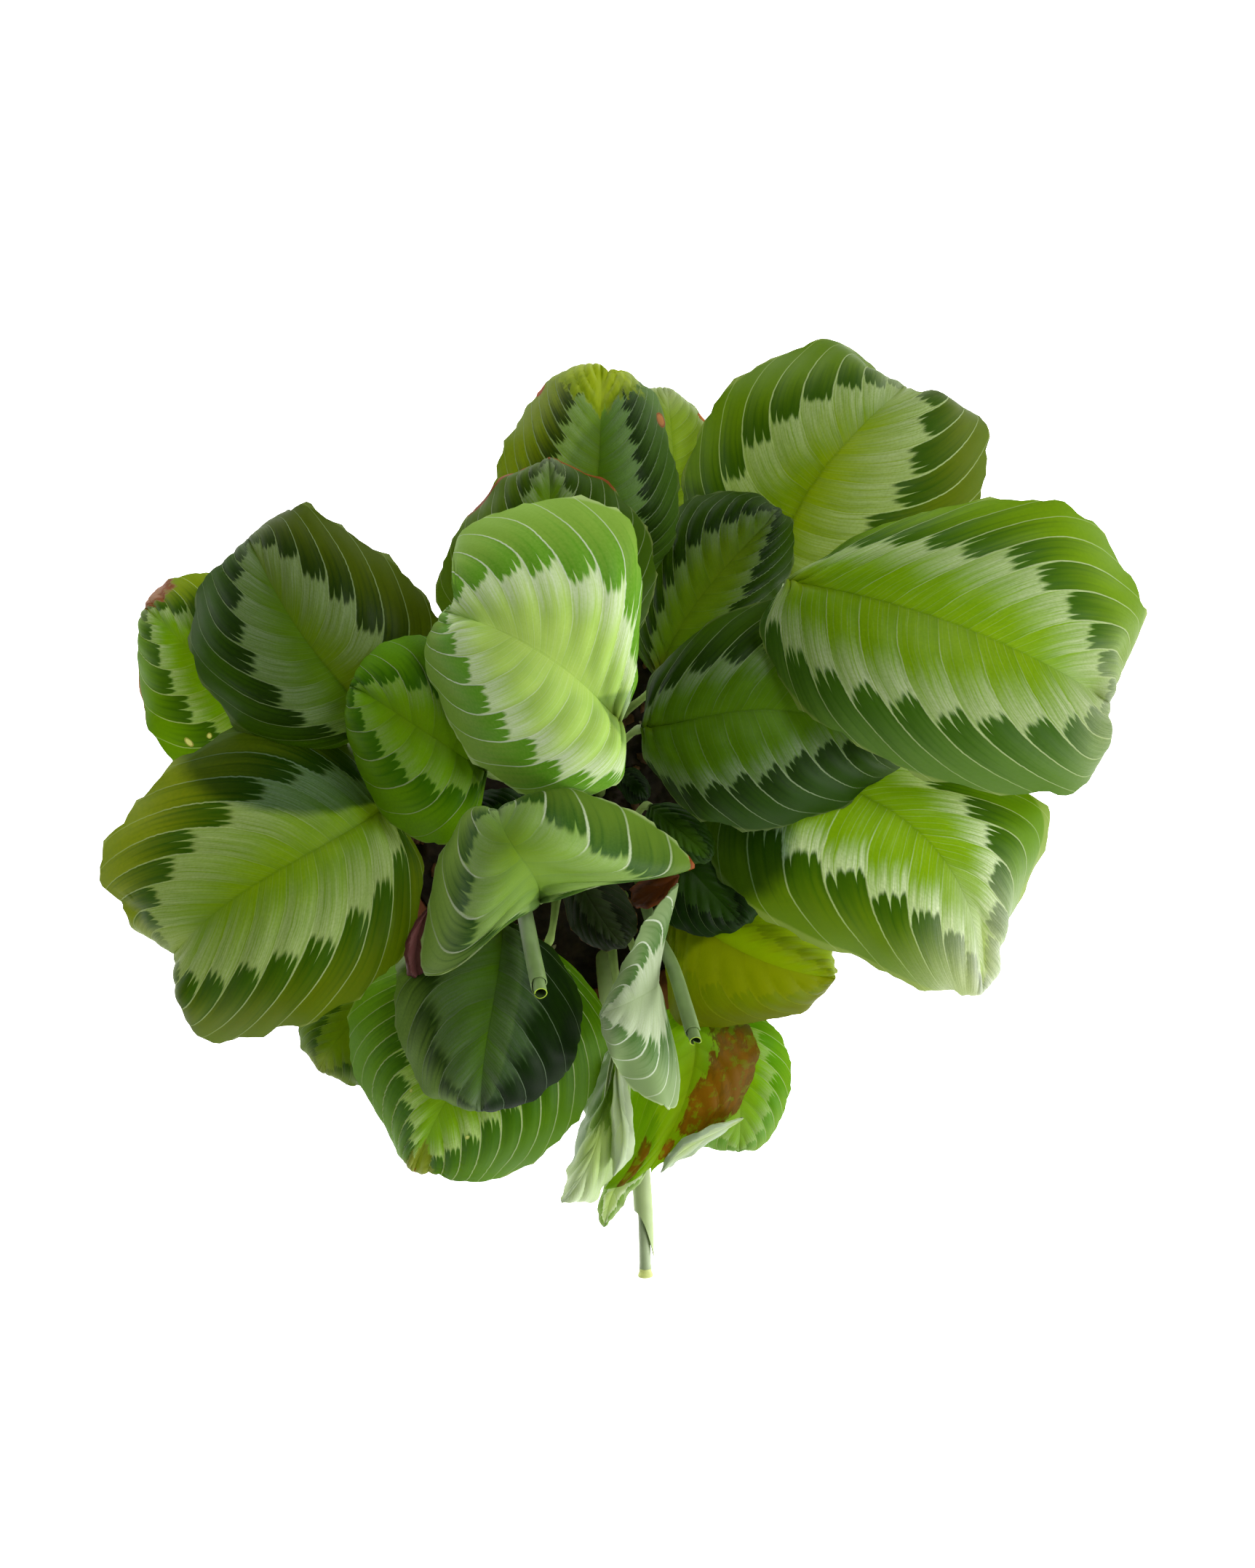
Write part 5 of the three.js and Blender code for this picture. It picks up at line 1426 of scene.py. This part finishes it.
roll_skins = [
    plain_paint("rolled leaf skin", "7f9a5c", 0.45, 0.18, 150.0, through="b4cc6a", share=0.25),
    # Painted shade: the inside of the roll is a dark green.
    plain_paint("rolled leaf inside", "304414", 0.6, 0.2, 150.0),
    plain_paint("rolled leaf lip", "a4c428", 0.4, 0.2, 150.0, through="c8e850", share=0.3),
]
for roll in ROLLED:
    piece = new_piece(roll["name"] + "_fine", [rolled_sheet(roll)], roll_skins)
    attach(piece, "root")
    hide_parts(roll["name"])
print("rolled leaves:", len(ROLLED))

# %% [markdown]
# ## The cut stem
#
# One bare stem leans out over the rim. It is wrapped in an old leaf sheath for most of its
# length, and its cut end is a little flared and paler.

# %% Cut stem
STEM_PATH = [(8, -46, 97), (8, -48, 110), (9, -57, 121), (11, -68, 125), (16, -90, 121), (19, -117, 117),
             (20, -143, 113)]
STEM_POINTS = 90
STEM_RADIUS = 1.75
# A small ring round the stem, and the cut end, as shares of the path.
RING_PLACE, RING_LENGTH, RING_SWELL = 0.975, 0.006, 0.2
END_FROM = 0.978
END_RADII = [1.95, 1.9, 1.95, 2.1, 2.35, 2.3]
SHEATH_RADIUS = 2.9
SHEATH_EARLY, SHEATH_LATE = 0.82, 0.945
SHEATH_THICKNESS = 0.3


def sheath(stem_path, radius, early, late, cut_side):
    """A wrapped sheet round the stem, cut slantwise from `early` to `late` along the path."""
    _, side, other = turning_frames(stem_path)
    angle = np.linspace(0, 2.15 * math.pi, 60)
    facing = (1 + np.cos(angle - cut_side)) / 2
    end = early + (late - early) * facing**2
    place = np.linspace(0.1, 1, 50)[:, None] * end[None, :]
    index = place * (len(stem_path) - 1)

    def at(line):
        return np.stack([np.interp(index, np.arange(len(line)), line[:, axis]) for axis in range(3)], -1)

    size = radius * (1 - 0.12 * place) + 0.12 * angle / 6.3
    around = at(side) * np.cos(angle)[None, :, None] + at(other) * np.sin(angle)[None, :, None]
    points = at(stem_path) + around * size[..., None]
    uv = np.stack([place, np.broadcast_to(angle / 7, place.shape)], -1)
    return shell(points[:, ::-1], uv[:, ::-1], SHEATH_THICKNESS, upper=0, under=0)


path, _ = smooth_path(STEM_PATH, STEM_POINTS)
share = np.linspace(0, 1, STEM_POINTS)
ring = RING_SWELL * np.exp(-((share - RING_PLACE) / RING_LENGTH) ** 2)
stem = tube(path[:-2], (STEM_RADIUS + ring)[:-2], 24, slot=1)
_, side, other = turning_frames(path)
to_the_right = math.atan2(other[-1][0], side[-1][0])
wrap = sheath(path, SHEATH_RADIUS, SHEATH_EARLY, SHEATH_LATE, to_the_right)
steps = np.linspace(END_FROM, 1.0, len(END_RADII))
end_path = np.stack([np.interp(steps, share, path[:, axis]) for axis in range(3)], 1)
end = tube(end_path, END_RADII, 24, slot=2)
sheath_skin = plain_paint("sheath skin", "a9bd80", 0.5, 0.12, 90.0, through="c6dc8a", share=0.2)
inner_skin = plain_paint("stem skin", "9cac84", 0.5, 0.15, 120.0, through="c0d48c", share=0.15)
end_skin = plain_paint("cut end", "d4dc94", 0.6, 0.15, 300.0, through="e4ec9c", share=0.3)
piece = new_piece("cut_stem_fine", [wrap, stem, end], [sheath_skin, inner_skin, end_skin])
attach(piece, "root")
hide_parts("cut_stem")
print("cut stem faces:", len(piece.data.polygons))

# %% [markdown]
# ## Soil
#
# Potting mix is a rough dark mass of peat with bark chips and a few pale grains. The fill is
# a disc of fine rings, pushed up and down by several sizes of seeded waves, with chips as
# small squashed stones on top, all in one object.

# %% Soil
POT_HEIGHT, POT_RIM, POT_WALL, POT_FLOOR = 120.0, 24.0, 6.0, 8
POT_BASE_RADIUS, POT_BODY_RADIUS, POT_RIM_RADIUS = 46.0, 62.0, 70
SHOULDER = POT_HEIGHT - POT_RIM
SOIL_GAP = 0.6
SOIL_BOTTOM = 8.3
SOIL_EDGE = 102.5
SOIL_CREST = 103
# The soil's top is MOUND higher in the middle than at MOUND_RADIUS. Its lumps lie LUMPS_SUNK
# lower than that, and fade out down to LUMPS_FROM and within LUMPS_CLEAR of the pot's wall.
MOUND, MOUND_RADIUS = 3, 57
LUMPS_FROM, LUMPS_CLEAR, LUMPS_SUNK = 101, 2, 0.6
# The chips lie within SCATTER_RADIUS, with their middles about level with the ground.
SCATTER_RADIUS, CHIP_SUNK = 54, 0.5
SOIL_RINGS, SOIL_AROUND, CHIP_AROUND, POT_AROUND = 70, 220, 8, 160
LUMP_SIZES, LUMP_HEIGHTS = (9, 5, 2.6, 1.4), (0.9, 0.7, 0.5, 0.3)
WAVES_PER_SIZE = 6
GROUND_SEED = 4


def inside_radius(z):
    """Radius of the pot's inside at a height."""
    return POT_BASE_RADIUS + (POT_BODY_RADIUS - POT_BASE_RADIUS) * z / SHOULDER - POT_WALL


def lumps(x, y):
    """Rough ground: rows of waves of each size, in random directions."""
    chance = np.random.default_rng(GROUND_SEED)
    total = np.zeros_like(x)
    for size, height in zip(LUMP_SIZES, LUMP_HEIGHTS):
        for _ in range(WAVES_PER_SIZE):
            angle, shift = chance.uniform(0, 2 * math.pi, 2)
            along = (x * math.cos(angle) + y * math.sin(angle)) * 2 * math.pi / size
            total += height / 3 * np.sin(along + shift)
    return total


def turned(profile, around, slot=0):
    """A solid of revolution from (radius, height) points that start and end on the axis."""
    angle = np.linspace(0, 2 * math.pi, around, endpoint=False)
    inner = np.array(profile[1:-1], float)
    rings = np.stack([np.outer(inner[:, 0], np.cos(angle)), np.outer(inner[:, 0], np.sin(angle)),
                      np.repeat(inner[:, 1:2], around, 1)], -1)
    uv = np.stack(np.meshgrid(np.linspace(0, 1, len(inner)), angle / (2 * math.pi), indexing="ij"), -1)
    return joined_rings(rings, uv, slot)


def soil_fill():
    """The mix from the pot's floor up, with a mounded and lumpy top."""
    low_radius = inside_radius(SOIL_BOTTOM) - SOIL_GAP
    top_radius = inside_radius(SOIL_CREST) - SOIL_GAP
    profile = [(0, SOIL_BOTTOM), (low_radius, SOIL_BOTTOM), (top_radius, SOIL_EDGE)]
    rings = np.linspace(1, 0.01, SOIL_RINGS) * (top_radius - 0.3)
    profile += [(r, SOIL_TOP - MOUND * (r / top_radius) ** 2) for r in rings]
    profile += [(0, SOIL_TOP)]
    vertices, faces, uv, slots = turned(profile, SOIL_AROUND)
    x, y, z = vertices.T
    from_wall = top_radius - np.hypot(x, y)
    on_top = smooth(LUMPS_FROM, SOIL_CREST, z) * smooth(0, LUMPS_CLEAR, from_wall)
    vertices[:, 2] += on_top * (lumps(x, y) - LUMPS_SUNK)
    return vertices, faces, uv, slots


def chips(count, seed, size, slot, flat=0.5):
    """Small squashed stones scattered on the soil, half sunk in it."""
    chance = np.random.default_rng(seed)
    parts = []
    for _ in range(count):
        r, a = SCATTER_RADIUS * math.sqrt(chance.uniform(0, 1)), chance.uniform(0, 2 * math.pi)
        x, y = r * math.cos(a), r * math.sin(a)
        ground = SOIL_TOP - MOUND * (r / MOUND_RADIUS) ** 2
        z = ground + float(lumps(np.array(x), np.array(y))) - CHIP_SUNK
        long, wide = chance.uniform(*size), chance.uniform(0.4, 0.8)
        turn = chance.uniform(0, 2 * math.pi)
        v = np.linspace(0.2, math.pi - 0.2, 6)
        profile = [(0, 1)] + [(math.sin(t), math.cos(t)) for t in v] + [(0, -1)]
        vertices, faces, uv, slots = turned(profile[::-1], CHIP_AROUND, slot)
        vertices = vertices * (long, long * wide, long * flat) * chance.uniform(0.8, 1.2, vertices.shape)
        cos, sin = math.cos(turn), math.sin(turn)
        vertices = vertices @ np.array([[cos, sin, 0], [-sin, cos, 0.3], [0, -0.3, 1]])
        parts.append((vertices + (x, y, z), faces, uv, slots))
    return parts


peat = plain_paint("peat", "241810", 0.95, 0.5, 260.0)
bark = plain_paint("bark chips", "5b3a22", 0.85, 0.5, 300.0)
grain = plain_paint("pale grains", "b9ae98", 0.8, 0.2, 200.0)
bark_chips = chips(150, seed=8, size=(1.2, 3.2), slot=1)
pale_chips = chips(40, seed=9, size=(0.6, 1.3), slot=2, flat=0.8)
piece = new_piece("soil_fine", [soil_fill(), *bark_chips, *pale_chips], [peat, bark, grain], sharp=70)
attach(piece, "root")
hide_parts("soil")
print("soil faces:", len(piece.data.polygons))

# %% [markdown]
# ## The pot
#
# A plain clay pot with a collar, thrown on a wheel: its profile is turned about the axis with
# softened edges. The clay is dull and slightly blotched, with faint turning rings.

# %% Pot
def clay():
    """Terracotta with soft blotches, specks, a pale bloom and turning rings."""
    material, tree, bsdf = new_material("terracotta")
    place = Wire(tree, tree.nodes.new("ShaderNodeTexCoord").outputs["Object"])
    parts = tree.nodes.new("ShaderNodeSeparateXYZ")
    tree.links.new(place.socket, parts.inputs[0])
    height = Wire(tree, parts.outputs["Z"])
    cloud = noise(tree, 22.0, 5.0, 0.6, at=place, seed=1.0)
    speck = noise(tree, 900.0, 2.0, 0.6, at=place, seed=2.0)
    rings = noise(tree, 1.0, 3.0, at=vector(tree, height * 900.0, 0.0), seed=3.0)
    bloom = noise(tree, 9.0, 4.0, at=place, seed=4.0)
    paint = mixed(cloud.rise(0.25, 0.75), light("8a4a30"), light("a8603f"))
    paint = mixed(speck.rise(0.58, 0.72) * 0.35, paint, light("c08a68"))
    paint = mixed(bloom.rise(0.55, 0.8) * 0.3, paint, light("c9ab96"))
    tree.links.new(paint.socket, bsdf.inputs["Base Color"])
    bsdf.inputs["Roughness"].default_value = 0.85
    add_bump(tree, bsdf, rings * 0.6 + speck * 0.4, strength=0.5, distance=0.0005)
    return material


ROUND_POINTS = 5


def rounded(corner, before, after, radius):
    """Points of a rounded corner of a profile."""
    corner, before, after = (np.array(p, float) for p in (corner, before, after))
    start = corner + (before - corner) / np.linalg.norm(before - corner) * radius
    end = corner + (after - corner) / np.linalg.norm(after - corner) * radius
    t = np.linspace(0, 1, ROUND_POINTS)[:, None]
    return list(map(tuple, start * (1 - t) ** 2 + 2 * corner * t * (1 - t) + end * t**2))


inner_rim = inside_radius(POT_HEIGHT)
inner_foot = inside_radius(POT_FLOOR)
corners = [(POT_BASE_RADIUS, 0, 2), (POT_BODY_RADIUS, SHOULDER, 1.0), (POT_RIM_RADIUS - 1, SHOULDER, 2.0),
           (POT_RIM_RADIUS, POT_HEIGHT, 2.2), (inner_rim, POT_HEIGHT, 2.2), (inner_foot, POT_FLOOR, 3)]
profile = [(0, 0)]
for i, (r, z, radius) in enumerate(corners):
    before = (0, 0) if i == 0 else corners[i - 1][:2]
    after = (0, POT_FLOOR) if i == len(corners) - 1 else corners[i + 1][:2]
    profile += rounded((r, z), before, after, radius)
profile += [(0, POT_FLOOR)]
piece = new_piece("pot_fine", [turned(profile, POT_AROUND)], [clay()])
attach(piece, "root")
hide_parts("pot")
print("pot faces:", len(piece.data.polygons))
